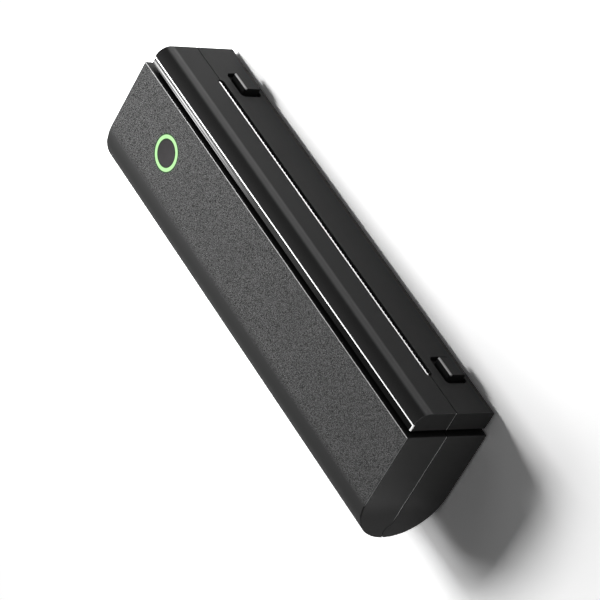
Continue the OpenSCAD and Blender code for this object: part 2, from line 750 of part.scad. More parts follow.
// Spur gear drawn from its involute flanks. inv_deg is the involute function, in degrees.
pressure = 20;
function inv_deg(a) = tan(a) * 180 / PI - a;
function flank_deg(r, rp, n) = 90 / n - backlash / 4 / rp * 180 / PI + inv_deg(pressure)
    - inv_deg(acos(min(1, rp * cos(pressure) / r)));
function gear_points(n) = let (rp = gear_m * n / 2, ri = rp - 1.2 * gear_m, rt = rp + 0.95 * gear_m,
        rs = max(ri, rp * cos(pressure) + 0.01))
    [for (i = [0 : n - 1], k = [[ri, -1, rs], [rs, -1, rs], [rp, -1, rp], [rt, -1, rt],
            [rt, 1, rt], [rp, 1, rp], [rs, 1, rs], [ri, 1, rs]])
        let (a = i * 360 / n + k[1] * flank_deg(k[2], rp, n)) k[0] * [cos(a), sin(a)]];
module gear(n, bore, turn, y, z) translate([0, y, z]) along_x(gear_w, gear_x) difference() {
    rotate(turn) polygon(gear_points(n));
    circle(bore);
}

// A moulded gear is recessed on both sides between its hub and its rim.
module moulded_gear(n, bore, turn, y, z) difference() {
    gear(n, bore, turn, y, z);
    for (s = [-1, 1]) translate([0, y, z]) along_x(gear_recess * 2, gear_x + s * gear_w / 2) difference() {
        circle(gear_m * (n / 2 - 1.2) - 0.8);
        circle(bore + 0.9);
    }
}
module motor_pinion() color([0.85, 0.75, 0.45]) placed()
    gear(pinion_teeth, motor_shaft_r, pinion_turn, motor_y, motor_z);
module idler_gear() color([0.9, 0.9, 0.88]) placed()
    moulded_gear(idler_teeth, idler_pin_r + run_gap, idler_turn, idler_y, idler_z);
module platen_gear() color([0.9, 0.9, 0.88]) placed()
    moulded_gear(platen_teeth, platen_shaft_r, platen_turn, platen_y, platen_z);
module idler_pin() color([0.8, 0.8, 0.82]) placed() {
    rod_x(idler_pin_r, gear_x - gear_w / 2 - 0.3, -plate_in, idler_y, idler_z);
    rod_x(idler_pin_r + 0.9, gear_x + gear_w / 2 + 0.2, -plate_in - plate_steel_t, idler_y, idler_z);
    rod_x(idler_pin_r + 0.7, gear_x - gear_w / 2 - 0.9, gear_x - gear_w / 2 - 0.2, idler_y, idler_z);
}

// Print head: heat sink with two pivot lugs, heater plate, connector and two springs under it.
module head_pivot_pins() color([0.8, 0.8, 0.82]) placed() both_ends() {
    rod_x(head_pin_r, lug_out - lug_w, plate_out, head_pin_y, head_pin_z);
}
module head_heatsink() color([0.72, 0.73, 0.74]) placed() difference() {
    union() {
        block(-sink_l / 2, sink_l / 2, -sink_out, sink_d - sink_out, sink_low, sink_top);
        both_ends() {
            rod_x(lug_r, lug_out - lug_w, lug_out, head_pin_y, head_pin_z);
            block(lug_out - lug_w, lug_out, sink_d - sink_out - 2, head_pin_y, head_pin_z - 1.4, sink_top);
        }
    }
    both_ends() rod_x(head_pin_r + run_gap, lug_out - lug_w - 1, lug_out + 1, head_pin_y, head_pin_z);
    for (y = [-sink_out + 2.4, sink_d - sink_out - 2.4])
        block(-sink_l / 2 - 1, sink_l / 2 + 1, y - 0.5, y + 0.5, sink_low - 1, sink_low + 0.8);
}
module heater_plate() color([0.86, 0.84, 0.76]) placed() {
    y0 = platen_y - plate_d / 2;
    block(-sink_l / 2 + 1, sink_l / 2 - 1, y0, y0 + plate_d, sink_top, heater_top - 0.15);
    block(-slot_l / 2 + 3, slot_l / 2 - 3, platen_y - 0.6, platen_y + 0.6, heater_top - 0.2, heater_top);
}
module head_connector() color([0.9, 0.88, 0.8]) placed()
    block(connector_x, connector_x + connector_w, -sink_out + 0.5, -sink_out + 3.1,
        sink_low - 2.5, sink_low);
module head_cable() color([0.85, 0.55, 0.3]) placed() {
    y0 = -sink_out + 1.8;
    z0 = frame_low + 0.4;
    block(connector_x + 1, connector_x + connector_w - 1, y0, y0 + 0.3, z0, sink_low - 3.3);
    block(connector_x + 1, connector_x + connector_w - 1, y0, board_y + 2.4, z0, z0 + 0.3);
}

// Wound wire from z = 0 to z = height, with closed ends. Rings of points follow the helix.
module coil(r, wire, height, turns) {
    steps = 14 * turns;
    sides = 6;
    rise = height - wire;
    function lift(t) = t < 1 ? t * wire : t > turns - 1 ? rise - (turns - t) * wire
        : wire + (rise - 2 * wire) * (t - 1) / (turns - 2);
    rings = [for (i = [0 : steps], k = [0 : sides - 1])
        let (a = 360 * i / 14, b = 360 * k / sides, q = r + wire / 2 * cos(b))
            [q * cos(a), q * sin(a), wire / 2 + lift(i / 14) + wire / 2 * sin(b)]];
    walls = [for (i = [0 : steps - 1], k = [0 : sides - 1])
        let (a = i * sides, b = a + sides, m = (k + 1) % sides) [a + k, a + m, b + m, b + k]];
    ends = [[for (k = [sides - 1 : -1 : 0]) k], [for (k = [0 : sides - 1]) steps * sides + k]];
    polyhedron(rings, concat(walls, ends));
}
module head_springs() color([0.8, 0.8, 0.82]) placed() both_ends()
    translate([head_spring_x, platen_y, head_seat_z])
        coil(head_spring_r, spring_wire, sink_low - head_seat_z, 8);

// Paper tray: a half round trough with an end wall on each side. Its front apron covers the cells
// and leads the paper to the print head.
module paper_tray() color([0.16, 0.16, 0.17]) placed() difference() {
    union() {
        translate([0, bay_y, bay_z]) along_x(2 * tray_half) intersection() {
            circle(bay_r + tray_wall);
            union() {
                translate([-back_y, -back_y]) square([2 * back_y, back_y - tray_back_drop]);
                translate([-back_y, -back_y]) square([back_y, back_y - 0.2]);
            }
        }
        block(-apron_half, apron_half, apron_front, bay_y - bay_r + 1, apron_top - tray_wall, apron_top);
    }
    translate([0, bay_y, bay_z]) along_x(bay_l) circle(bay_r);
}

// Two cells in line, and the cradle that holds them off the floor.
module battery_cells() color([0.2, 0.45, 0.3]) placed() for (i = [0, 1]) {
    x0 = cell_start + i * (cell_l + cell_gap);
    rod_x(cell_r, x0, x0 + cell_l - 1.2, cell_y, cell_z);
    rod_x(3, x0 + cell_l - 1.3, x0 + cell_l, cell_y, cell_z);
}
module battery_cradle() color([0.15, 0.15, 0.15]) placed() {
    w = cell_r + cradle_t;
    difference() {
        block(cell_start - cradle_t, cell_end + cradle_t, cell_y - w, cell_y + w, shell_wall, cell_z - 1);
        rod_x(cell_r + 0.1, cell_start - 0.1, cell_end + 0.1, cell_y, cell_z);
        block(cell_start + 6, cell_end - 6, cell_y - 5, cell_y + 5, 0, 10);
    }
}

// Boards. The main board drives the head and the motor, the small one charges the cells.
module main_board() color([0.1, 0.35, 0.2]) placed() difference() {
    block(board_x, board_x + board_l, board_y, board_y + board_d, board_z, board_z + board_t);
    at_main_board() translate([0, 0, -5]) cylinder(r = screw_r + 0.15, h = 10);
}
module charge_board() color([0.1, 0.35, 0.2]) placed() difference() {
    block(charge_x, charge_x + charge_l, board_y, board_y + board_d, board_z, board_z + board_t);
    at_charge_board() translate([0, 0, -5]) cylinder(r = screw_r + 0.15, h = 10);
}
module board_parts() color([0.12, 0.12, 0.13]) placed() translate([0, 0, board_z + board_t]) {
    block(connector_x, connector_x + connector_w, board_y + 1.2, board_y + 5,
        0, frame_low - board_z - board_t + 0.4);
    block(board_x + 8, board_x + 17, board_y + 9, board_y + 18, 0, 1.2);
    block(board_x + 22, board_x + 28, board_y + 9, board_y + 15, 0, 1.6);
    for (i = [0 : 3]) rod_z(1.6, 0, 4, board_x + 22 + i * 4, board_y + 20);
    for (y = [7 : 2.4 : 17]) block(board_x + 32, board_x + 34, board_y + y, board_y + y + 1.2, 0, 0.8);
    block(charge_x + 7, charge_x + 12, board_y + 18, board_y + 23, 0, 1);
}
module charge_socket() color([0.75, 0.76, 0.78]) placed() translate([0, usb_y, usb_z]) {
    along_x(usb_d, usb_x + usb_d / 2) difference() {
        round_rect(usb_w, usb_h, usb_h / 2 - 0.01);
        round_rect(usb_w - 0.6, usb_h - 0.6, usb_h / 2 - 0.31);
    }
    along_x(0.6, usb_x + 0.3) round_rect(usb_w - 0.2, usb_h - 0.2, usb_h / 2 - 0.11);
    along_x(usb_d - 1.4, usb_x + 0.3 + (usb_d - 1.4) / 2) square([usb_w - 3, 0.7], center = true);
}
module cover_sensor() color([0.1, 0.1, 0.1]) placed() difference() {
    block(sensor_x - 2.6, sensor_x + 2.6, sensor_y - 3, sensor_y + 3, board_z + board_t, seam_z - 2);
    block(sensor_x - 1, sensor_x + 1, sensor_y - 4, sensor_y + 4, seam_z - 9, seam_z);
}
module paper_sensor_body(gap = 0)
    block(-2.5 - gap, 2.5 + gap, -fascia_in + 0.8 - gap, -fascia_in + 3.6 + gap,
        seam_z - slot_h / 2 - 1.4 - gap, seam_z - slot_h / 2 + gap);
module paper_sensor() color([0.05, 0.05, 0.06]) placed() paper_sensor_body();

// Latch: the tab that is pushed, the plate behind its window, and the arm with the hook.
module latch() {
    plate_top = window_z + window_h / 2 + 1.2;
    plate_low = head_low_in + shell_wall + 0.4;
    arm_low = frame_low + 0.6;
    tab_deep = tab_out + shell_wall + 1;
    block(latch_x - window_w / 2 - 1, arm_x + arm_w, -latch_back, -latch_rear, plate_low, plate_top);
    intersection() {
        translate([latch_x, -head_d - tab_out, tab_z]) rotate([-90, 0, 0])
            linear_extrude(height = tab_deep) round_rect(tab_w, tab_h, tab_r);
        translate([0, -head_d - tab_out + tab_deep / 2 + tab_r, tab_z])
            along_x(tab_w + 2, latch_x) round_rect(tab_deep + 2 * tab_r, tab_h, tab_r);
    }
    block(arm_x, arm_x + arm_w, -latch_rear - eps, arm_y + latch_arm, arm_low, plate_top);
    block(arm_x, arm_x + arm_w, arm_y, arm_y + latch_arm, arm_low, hook_z + hook_h);
    block(arm_x, arm_x + arm_w, arm_y - hook_grip - 0.1, arm_y + eps, hook_z, hook_z + hook_h);
}
module latch_right() color([0.12, 0.12, 0.12]) placed() latch();
module latch_left() color([0.12, 0.12, 0.12]) placed() mirror([1, 0, 0]) latch();
module latch_spring() translate([latch_x, -latch_rear, latch_spring_z]) rotate([-90, 0, 0])
    coil(latch_spring_r, spring_wire, latch_spring_l, 6);
module latch_spring_right() color([0.8, 0.8, 0.82]) placed() latch_spring();
module latch_spring_left() color([0.8, 0.8, 0.82]) placed() mirror([1, 0, 0]) latch_spring();

// Pins, feet and screws. Pieces that are alike share one node.
module hinge_pins() color([0.8, 0.8, 0.82]) placed() both_ends() {
    reach = knuckle_top_l / 2 + knuckle_gap + knuckle_base_l - 0.5;
    rod_x(hinge_pin_r, hinge_x - reach, hinge_x + reach, hinge_y, seam_z);
}
module rubber_feet() color([0.08, 0.08, 0.08]) placed()
    for (x = [-1, 1], y = [foot_front, case_flat - foot_back])
        rod_z(foot_r, -foot_h, foot_sink, x * (half_l - foot_end), y);
module chassis_screws() color([0.8, 0.8, 0.8]) placed()
    at_chassis() translate([0, 0, plate_steel_t]) screw();
module board_screws() color([0.8, 0.8, 0.8]) placed() {
    at_main_board() screw();
    at_charge_board() screw();
}
module lower_fascia_screws() color([0.8, 0.8, 0.8]) placed() at_low_neck() screw();
module upper_fascia_screws() color([0.8, 0.8, 0.8]) placed() at_high_neck() screw();
module bracket_screws() color([0.8, 0.8, 0.8]) placed() at_bracket() screw();
module button_screws() color([0.8, 0.8, 0.8]) placed() at_switch() screw();

// Upper casing: top, round back, bosses and the middle hinge knuckles.
module cover_shell() color([0.3, 0.3, 0.3]) placed() difference() {
    union() {
        difference() {
            casing_half(true);
            ear_notch();
            knuckle_sides(knuckle_gap);
        }
        knuckle_middle();
        top_ribs();
        at_bracket() post_below(bracket_foot, bracket_drop);
        at_switch() post_below(board_t, switch_drop - board_t);
    }
    hinge_bores(hinge_pin_r + run_gap);
    at_bracket() translate([0, 0, -screw_l - 0.4]) cylinder(r = screw_r, h = 10);
    at_switch() translate([0, 0, -screw_l - 0.4]) cylinder(r = screw_r, h = 10);
    at_high_neck() translate([0, 0, -screw_l - 4]) cylinder(r = screw_r, h = screw_l + 5);
    rod_z(ring_r + 0.05, top_in - 1, case_t + 1, button_x, button_y);
}

// Upper half of the head, with the shelf for the tear bar and a ledge for each hook.
module upper_fascia() color([0.22, 0.22, 0.22]) placed() difference() {
    union() {
        head_block(true);
        difference() {
            block(-slot_l / 2, slot_l / 2, -fascia_in - 0.5, platen_y - platen_r - 1.2,
                bar_z + bar_t / 2, bar_z + bar_t / 2 + 3.4);
            slot_cut();
        }
        both_ends() block(arm_x - 0.5, arm_x + arm_w + 0.5, -fascia_in - 0.5, -fascia_in + hook_grip + 0.4,
            ledge_z, ledge_z + ledge_h);
    }
    block(-half_l, half_l, -groove_w - trim_w, -groove_w + 1, head_top - trim_t, head_top + 1);
    at_high_neck() translate([0, 0, -screw_l - 4]) cylinder(r = screw_r, h = screw_l + 5);
}

// Trim strip. A fine line sets off a bead along its front and both ends, and the bead's edge is bevelled.
module top_trim() color([0.6, 0.6, 0.62]) placed() {
    front = -groove_w - trim_w;
    bevel = trim_bead / 2;
    difference() {
        intersection() {
            along_x(2 * head_half) polygon([
                [front, head_top - trim_t], [front, head_top - bevel], [front + bevel, head_top],
                [-groove_w, head_top], [-groove_w, head_top - trim_t]
            ]);
            translate([0, -groove_w, 0]) rotate([90, 0, 0]) linear_extrude(height = trim_w) polygon([
                [-head_half, head_top - trim_t], [-head_half, head_top - bevel],
                [bevel - head_half, head_top], [head_half - bevel, head_top],
                [head_half, head_top - bevel], [head_half, head_top - trim_t]
            ]);
        }
        difference() {
            block(trim_bead - head_half, head_half - trim_bead, front + trim_bead, 0,
                head_top - trim_t / 2, head_top + 1);
            block(trim_bead + trim_line - head_half, head_half - trim_bead - trim_line,
                front + trim_bead + trim_line, 1, 0, head_top + 2);
        }
    }
}

// Tear bar. Its upper half is a plain strip, and a row of small teeth is cut into its lower half.
module tear_bar() color([0.9, 0.9, 0.92]) placed() {
    teeth = floor((slot_l - 1.2) / tooth_pitch);
    half = teeth * tooth_pitch / 2;
    block(-half, half, -bar_front, -bar_front + bar_d, bar_z, bar_z + bar_t / 2);
    translate([0, 0, bar_z - bar_t / 2]) linear_extrude(height = bar_t / 2 + eps) polygon(concat(
        [[half, -bar_front + bar_d], [-half, -bar_front + bar_d]],
        [for (i = [0 : teeth - 1], k = [0, 1])
            [-half + (i + k / 2) * tooth_pitch, -bar_front + (k == 0 ? tooth_d : 0)]],
        [[half, -bar_front + tooth_d]]));
}

// Brackets that hang the roller from the top, and the guide above the paper between them.
module bracket() difference() {
    union() {
        block(bracket_in, bracket_out, platen_y - bushing_r - 1.5, bracket_y2 + 4,
            platen_z - 3.5, case_t - frame_low - 0.8);
        block(bracket_in, bracket_out, bracket_y1 - 3, bracket_y2 + 4,
            platen_z, bracket_seat + bracket_foot);
        block(bracket_in, bracket_out, platen_y - bushing_r - 1.5, platen_y + bushing_r + 1.5,
            high_seam + 0.4, platen_z);
        block(bracket_in, bracket_out + 6.4, bracket_y1 - 3, bracket_y2 + 4,
            bracket_seat, bracket_seat + bracket_foot);
    }
    rod_x(bushing_r + 0.02, bracket_in - 1, bracket_out + 1, platen_y, platen_z);
    at_bracket() translate([0, 0, -8]) cylinder(r = screw_r + 0.15, h = 12);
    rod_x(6, bracket_in - 1, bracket_out + 1, 15, platen_z + 6.5);
}
module bracket_left() color([0.18, 0.18, 0.19]) placed() mirror([1, 0, 0]) bracket();
module bracket_right() color([0.18, 0.18, 0.19]) placed() {
    bracket();
    block(sensor_x - flag_t / 2, sensor_x + flag_t / 2, sensor_y - 2, sensor_y + 1, seam_z - 7,
        bracket_seat + bracket_foot);
}
module upper_guide() color([0.18, 0.18, 0.19]) placed() {
    guide_y = platen_y + platen_r + 2;
    low = platen_z - 3.3;
    translate([0, guide_y, low]) along_x(2 * bracket_in) polygon([
        [0, 0], [1.2, -1], [11, -1], [11, 0.4], [1.8, 0.4], [1.4, 6], [0, 6]
    ]);
}

// Platen roller with its shaft, gear and bushings.
module platen_bushings() color([0.9, 0.88, 0.82]) placed() both_ends() difference() {
    union() {
        rod_x(bushing_r, bushing_x, bracket_out + 0.8, platen_y, platen_z);
        rod_x(bushing_r + 1.2, bracket_out, bracket_out + 0.8, platen_y, platen_z);
    }
    rod_x(platen_shaft_r + run_gap, bushing_x - 1, bracket_out + 2, platen_y, platen_z);
}
module platen_shaft() color([0.8, 0.8, 0.82]) placed()
    rod_x(platen_shaft_r, gear_x - gear_w / 2 - 1, bracket_out + 2, platen_y, platen_z);
module platen_roller() color([0.1, 0.1, 0.1]) placed() difference() {
    rod_x(platen_r, -platen_l / 2, platen_l / 2, platen_y, platen_z);
    rod_x(platen_shaft_r, -platen_l, platen_l, platen_y, platen_z);
}

// Power button: a light ring in the top, the cap inside it, and the switch under the cap.
module light_ring() color([0.78, 1, 0.72]) placed() difference() {
    union() {
        rod_z(ring_r, top_in - 0.5, case_t, button_x, button_y);
        rod_z(ring_r + 2, top_in - 1.2, top_in, button_x, button_y);
    }
    rod_z(cap_r + cap_gap, 0, case_t + 1, button_x, button_y);
}
module button_cap() color([0.18, 0.18, 0.18]) placed() {
    dish_r = (cap_r * cap_r + cap_dish * cap_dish) / (2 * cap_dish);
    difference() {
        rod_z(cap_r, top_in - 1.5, case_t, button_x, button_y);
        translate([button_x, button_y, case_t - cap_dish + dish_r]) sphere(r = dish_r, $fn = 200);
    }
    rod_z(cap_r + 1.3, top_in - 2.2, top_in - 1.4, button_x, button_y);
}
module button_board() color([0.1, 0.35, 0.2]) placed() difference() {
    block(button_x - switch_board_w / 2, button_x + switch_board_w / 2,
        button_y - switch_board_d / 2, button_y + switch_board_d / 2, switch_z, switch_z + board_t);
    at_switch() translate([0, 0, -8]) cylinder(r = screw_r + 0.15, h = 12);
}
module button_switch() color([0.75, 0.75, 0.76]) placed() {
    block(button_x - 3, button_x + 3, button_y - 3, button_y + 3,
        switch_z + board_t, switch_z + board_t + 1.6);
    rod_z(1.4, switch_z + board_t, top_in - 2.2 - cap_travel - 0.1, button_x, button_y);
    for (a = [0 : 90 : 270])
        rotate_about(a) block(button_x + cap_r + 0.3, button_x + cap_r + 2.3, button_y - 1, button_y + 1,
            switch_z + board_t, switch_z + board_t + 0.8);
}
module rotate_about(a) translate([button_x, button_y, 0]) rotate([0, 0, a])
    translate([-button_x, -button_y, 0]) children();

base_shell();
lower_fascia();
side_plate_left();
side_plate_right();
motor_bracket();
motor();
motor_screws();
motor_shaft();
motor_pinion();
idler_pin();
idler_gear();
head_pivot_pins();
head_heatsink();
heater_plate();
head_connector();
head_springs();
paper_tray();
battery_cells();
battery_cradle();
main_board();
board_parts();
charge_board();
charge_socket();
head_cable();
paper_sensor();
latch_left();
latch_right();
latch_spring_left();
latch_spring_right();
hinge_pins();
rubber_feet();
chassis_screws();
board_screws();
lower_fascia_screws();
cover_shell();
upper_fascia();
top_trim();
tear_bar();
upper_guide();
bracket_left();
bracket_right();
platen_bushings();
platen_shaft();
platen_roller();
platen_gear();
light_ring();
button_cap();
button_board();
button_switch();
cover_sensor();
bracket_screws();
upper_fascia_screws();
button_screws();
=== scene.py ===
import math

import bpy
import numpy as np
from mathutils import Matrix, Vector


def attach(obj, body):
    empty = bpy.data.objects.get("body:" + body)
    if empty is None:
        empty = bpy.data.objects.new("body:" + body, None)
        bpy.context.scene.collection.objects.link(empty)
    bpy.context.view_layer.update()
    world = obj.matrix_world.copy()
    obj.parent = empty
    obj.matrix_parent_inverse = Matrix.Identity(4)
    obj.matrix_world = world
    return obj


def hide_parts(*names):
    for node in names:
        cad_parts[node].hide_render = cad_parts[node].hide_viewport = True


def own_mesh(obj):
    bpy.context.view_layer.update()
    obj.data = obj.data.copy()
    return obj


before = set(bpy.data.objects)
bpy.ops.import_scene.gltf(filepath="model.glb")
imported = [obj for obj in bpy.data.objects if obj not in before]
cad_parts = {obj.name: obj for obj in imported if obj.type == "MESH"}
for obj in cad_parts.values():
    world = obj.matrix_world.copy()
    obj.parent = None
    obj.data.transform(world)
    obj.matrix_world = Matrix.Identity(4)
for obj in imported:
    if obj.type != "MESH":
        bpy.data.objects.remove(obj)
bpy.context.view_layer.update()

# The photographer's view. A long lens looks down on the printer from over its near end and the
# front, and the camera lies on its side, so the printer's length runs from the upper left to the
# lower right. The angles are in degrees: the turn is from straight in front, towards +X.
LENS_MM, SENSOR_MM = 211.98, 36.0
TURN, ELEVATION, ROLL = -47.0813, 39.7188, -90.2170
AIM, DISTANCE = (0.00037, 0.01195, 0.01012), 1.7445

camera = bpy.data.objects.new("camera", bpy.data.cameras.new("camera"))
camera.data.sensor_width = SENSOR_MM
camera.data.lens = LENS_MM
camera.data.clip_start, camera.data.clip_end = 0.05, 20.0
camera.matrix_world = (
    Matrix.Translation(AIM)
    @ Matrix.Rotation(math.radians(TURN), 4, "Z")
    @ Matrix.Rotation(math.radians(90 - ELEVATION), 4, "X")
    @ Matrix.Rotation(math.radians(ROLL), 4, "Z")
    @ Matrix.Translation((0, 0, DISTANCE)))
bpy.context.scene.collection.objects.link(camera)
bpy.context.scene.camera = camera
bpy.context.scene.view_settings.view_transform = "Standard"


# The table under the printer and the light round it. The table is plain white board. Three
# softboxes stand at the printer's far end, one of them a little to its front and two behind it,
# and a low one at the front gives the head's round its soft band of gloss, which is also painted
# lighter there as a highlight.
MM_PER_M = 1000


class Tone:
    """A socket of a finish. Python's operators on it add the Math nodes that they stand for."""

    def __init__(self, finish, socket):
        self.finish, self.socket = finish, socket

    def maths(self, operation, *values):
        """A Math node on these values."""
        return self.finish.node("Math", {"operation": operation}, dict(enumerate(values)))

    def of(self, output):
        """Another output of the node that this socket is on."""
        return Tone(self.finish, self.socket.node.outputs[output])

    def __add__(self, other):
        return self.maths("ADD", self, other)

    def __sub__(self, other):
        return self.maths("SUBTRACT", self, other)

    def __rsub__(self, other):
        return self.maths("SUBTRACT", other, self)

    def __mul__(self, other):
        return self.maths("MULTIPLY", self, other)

    def __mod__(self, other):
        return self.maths("FLOORED_MODULO", self, other)

    def __pow__(self, other):
        return self.maths("POWER", self, other)

    def __abs__(self):
        return self.maths("ABSOLUTE", self)

    __radd__, __rmul__ = __add__, __mul__


class Finish:
    """One material, or a world, written as Python expressions on its sockets, in mm."""

    def __init__(self, name, kept_in=bpy.data.materials):
        self.made = kept_in.new(name)
        self.made.use_nodes = True
        self.tree = self.made.node_tree
        self.tree.nodes.clear()

    def node(self, kind, settings=(), sockets=(), out=0):
        """Adds a node: its settings first, then each socket's number, colour or link."""
        made = self.tree.nodes.new("ShaderNode" + kind)
        for name, value in dict(settings).items():
            setattr(made, name, value)
        for name, value in dict(sockets).items():
            if isinstance(value, Tone):
                self.tree.links.new(value.socket, made.inputs[name])
            else:
                made.inputs[name].default_value = value
        return Tone(self, made.outputs[out])

    def place(self, stretch=(1, 1, 1)):
        """Object coordinates in mm, with each axis times its stretch."""
        at = self.node("TexCoord", out="Object")
        return self.node("VectorMath", {"operation": "MULTIPLY"},
                         {0: at, 1: [MM_PER_M * share for share in stretch]})

    def axes(self):
        """X, Y and Z in mm."""
        x = self.node("SeparateXYZ", (), {0: self.place()})
        return x, x.of("Y"), x.of("Z")

    def noise(self, at, scale, detail=2.0, rough=0.5):
        """Soft random values about 0.5, with scale features to the mm."""
        return self.node("TexNoise", (), {"Vector": at, "Scale": scale, "Detail": detail,
                                          "Roughness": rough})

    def cells(self, at, scale, feature="F1"):
        """Distance from the middle, or with DISTANCE_TO_EDGE from the rim, of scattered cells."""
        return self.node("TexVoronoi", {"feature": feature}, {"Vector": at, "Scale": scale})

    def chance(self, at, scale):
        """A number from 0 to 1 that is the same all over each scattered cell."""
        return self.node("SeparateColor", (), {0: self.cells(at, scale).of("Color")})

    def rise(self, value, low, high):
        """0 below low and 1 above high, with a smooth rise between them."""
        return self.node("MapRange", {"interpolation_type": "SMOOTHSTEP"},
                         {0: value, 1: low, 2: high, 3: 0.0, 4: 1.0})

    def band(self, value, low, high, soft):
        """1 between low and high, with soft edges this wide."""
        return self.rise(value, low - soft, low) * (1 - self.rise(value, high, high + soft))

    def widest(self, *shares):
        """The largest of these shares."""
        most = shares[0]
        for share in shares[1:]:
            most = self.node("Math", {"operation": "MAXIMUM"}, {0: most, 1: share})
        return most

    def mix(self, share, first, second):
        """The first colour where share is 0, and the second where it is 1."""
        return self.node("Mix", {"data_type": "RGBA"}, {0: share, 6: first, 7: second}, out=2)

    def bump(self, height):
        """A normal for a surface that stands up by height, in mm."""
        return self.node("Bump", (), {"Strength": 1.0, "Distance": 1 / MM_PER_M,
                                       "Height": height})

    def surface(self, colour, roughness, **more):
        """Ends the finish as a plain lit surface. more holds its other sockets, _ for a space."""
        named = {name.replace("_", " "): value for name, value in more.items()}
        shader = self.node("BsdfPrincipled", (), {"Base Color": colour, "Roughness": roughness,
                                                  **named})
        return self.end(shader)

    def end(self, shader, output="OutputMaterial"):
        """Puts shader on the output."""
        last = self.tree.nodes.new("ShaderNode" + output)
        self.tree.links.new(shader.socket, last.inputs[0])
        return self.made


def grey(level):
    """A neutral colour."""
    return (level, level, level, 1.0)


def seen(rays):
    """1 for the rays that show a background: from the camera, off gloss and through glass."""
    return rays.finish.widest(*(rays.of(f"Is {kind} Ray")
                                for kind in ("Camera", "Glossy", "Transmission")))


# The table lights the printer as white board does, and is drawn brighter where it is seen. From
# FADE_START to FADE_END away from the printer's middle it fades to pure white.
TABLE_HALF_M = 4.0
BOARD_WHITE, SEEN_EXTRA = 0.80, 0.85
FADE_START, FADE_END = 185.0, 330.0
board = Finish("table_board")
lit = board.node("BsdfDiffuse", (), {"Color": grey(BOARD_WHITE)})
extra = board.node("BsdfDiffuse", (), {"Color": grey(SEEN_EXTRA)})
both = board.node("AddShader", (), {0: lit, 1: extra})
pure = board.node("Emission", (), {"Color": grey(1.0), "Strength": 1.0})
x, y, z = board.axes()
away = board.rise((x ** 2.0 + y ** 2.0) ** 0.5, FADE_START, FADE_END)
shown = board.node("MixShader", (), {0: away, 1: both, 2: pure})
board.end(board.node("MixShader", (), {0: seen(board.node("LightPath")), 1: lit, 2: shown}))
mesh = bpy.data.meshes.new("table")
corners = TABLE_HALF_M * np.array([[-1, -1, 0], [1, -1, 0], [1, 1, 0], [-1, 1, 0]])
mesh.from_pydata(corners.tolist(), [], [(0, 1, 2, 3)])
table = bpy.data.objects.new("table", mesh)
table.data.materials.append(board.made)
bpy.context.scene.collection.objects.link(table)

# The room is dim where it lights the printer, and white where it is seen.
ROOM_LIGHT = 0.075
room = Finish("room", bpy.data.worlds)
soft = room.node("Background", (), {0: grey(1.0), 1: ROOM_LIGHT})
white = room.node("Background", (), {0: grey(1.0), 1: 1.0})
shown = room.node("MixShader", (), {0: seen(room.node("LightPath")), 1: soft, 2: white})
bpy.context.scene.world = room.end(shown, "OutputWorld")


def softbox(name, place, aim, width, height, radiance):
    """A flat rectangular lamp at place, facing aim, with all lengths in metres.

    Its power is its radiance times pi times its area."""
    lamp = bpy.data.lights.new(name, "AREA")
    lamp.shape = "RECTANGLE"
    lamp.size, lamp.size_y = width, height
    lamp.energy = radiance * math.pi * width * height
    stand = bpy.data.objects.new(name, lamp)
    back = Vector(place) - Vector(aim)
    facing = back.to_track_quat("Z", "Y").to_matrix().to_4x4()
    stand.matrix_world = Matrix.Translation(place) @ facing
    bpy.context.scene.collection.objects.link(stand)


softbox("key_lamp", (0.37, -0.03, 0.47), (-0.05, 0.0, 0.0), 0.22, 0.22, 19.0)
softbox("glint_lamp", (0.43, 0.25, 0.38), (0.12, -0.02, 0.05), 0.22, 0.26, 4.0)
softbox("rear_lamp", (0.76, 0.26, 0.64), (0.0, 0.0, 0.0), 0.50, 0.40, 6.0)
softbox("front_lamp", (0.66, -0.96, 0.06), (0.0, -0.03, 0.04), 0.60, 0.16, 14.0)


# The casing: two halves of a D-shaped tube, moulded in black nylon-filled plastic. The top is
# grained like fine leather, and the rest is softly spark-eroded. Painted light and shade: the
# pebbles of the grain are painted light on top and near black in their creases, thin smoother
# highlights are painted along the top's front and end edges and along the seam on the end faces,
# the end faces are painted lighter, and the groove beside the head is painted near black.
CASING_TOP, CASING_FRONT, CASING_END = 50.8, -26.9, 135.0
ROUND_START = 15.1
SEAM, SEAM_LINE_END = 25.8, 27.0
EDGE_W = 0.42
PEBBLES_PER_MM, GRAINS_PER_MM, CLOUDS_PER_MM = 1.7, 2.6, 0.05

casing = Finish("casing_grain")
x, y, z = casing.axes()
flat = 1 - casing.rise(y, ROUND_START - 2, ROUND_START + 4)
on_top = casing.rise(z, CASING_TOP - 1.2, CASING_TOP - 0.4) * flat
on_end = casing.rise(abs(x), CASING_END - 0.3, CASING_END - 0.1)
drum = casing.rise(y, ROUND_START, ROUND_START + 10)
shaded_groove = 1 - casing.rise(y, CASING_FRONT + 0.02, CASING_FRONT + 0.10)

pebble = casing.cells(casing.place((1.0, 1.15, 1.0)), PEBBLES_PER_MM, "DISTANCE_TO_EDGE")
crease = casing.rise(pebble, 0.0, 0.30)
fine = casing.noise(casing.place(), GRAINS_PER_MM, 3.0, 0.65)
broad = casing.noise(casing.place(), CLOUDS_PER_MM, 2.0)
height = on_top * (crease * 0.20 + fine * 0.26) + (1 - on_top) * fine * 0.015

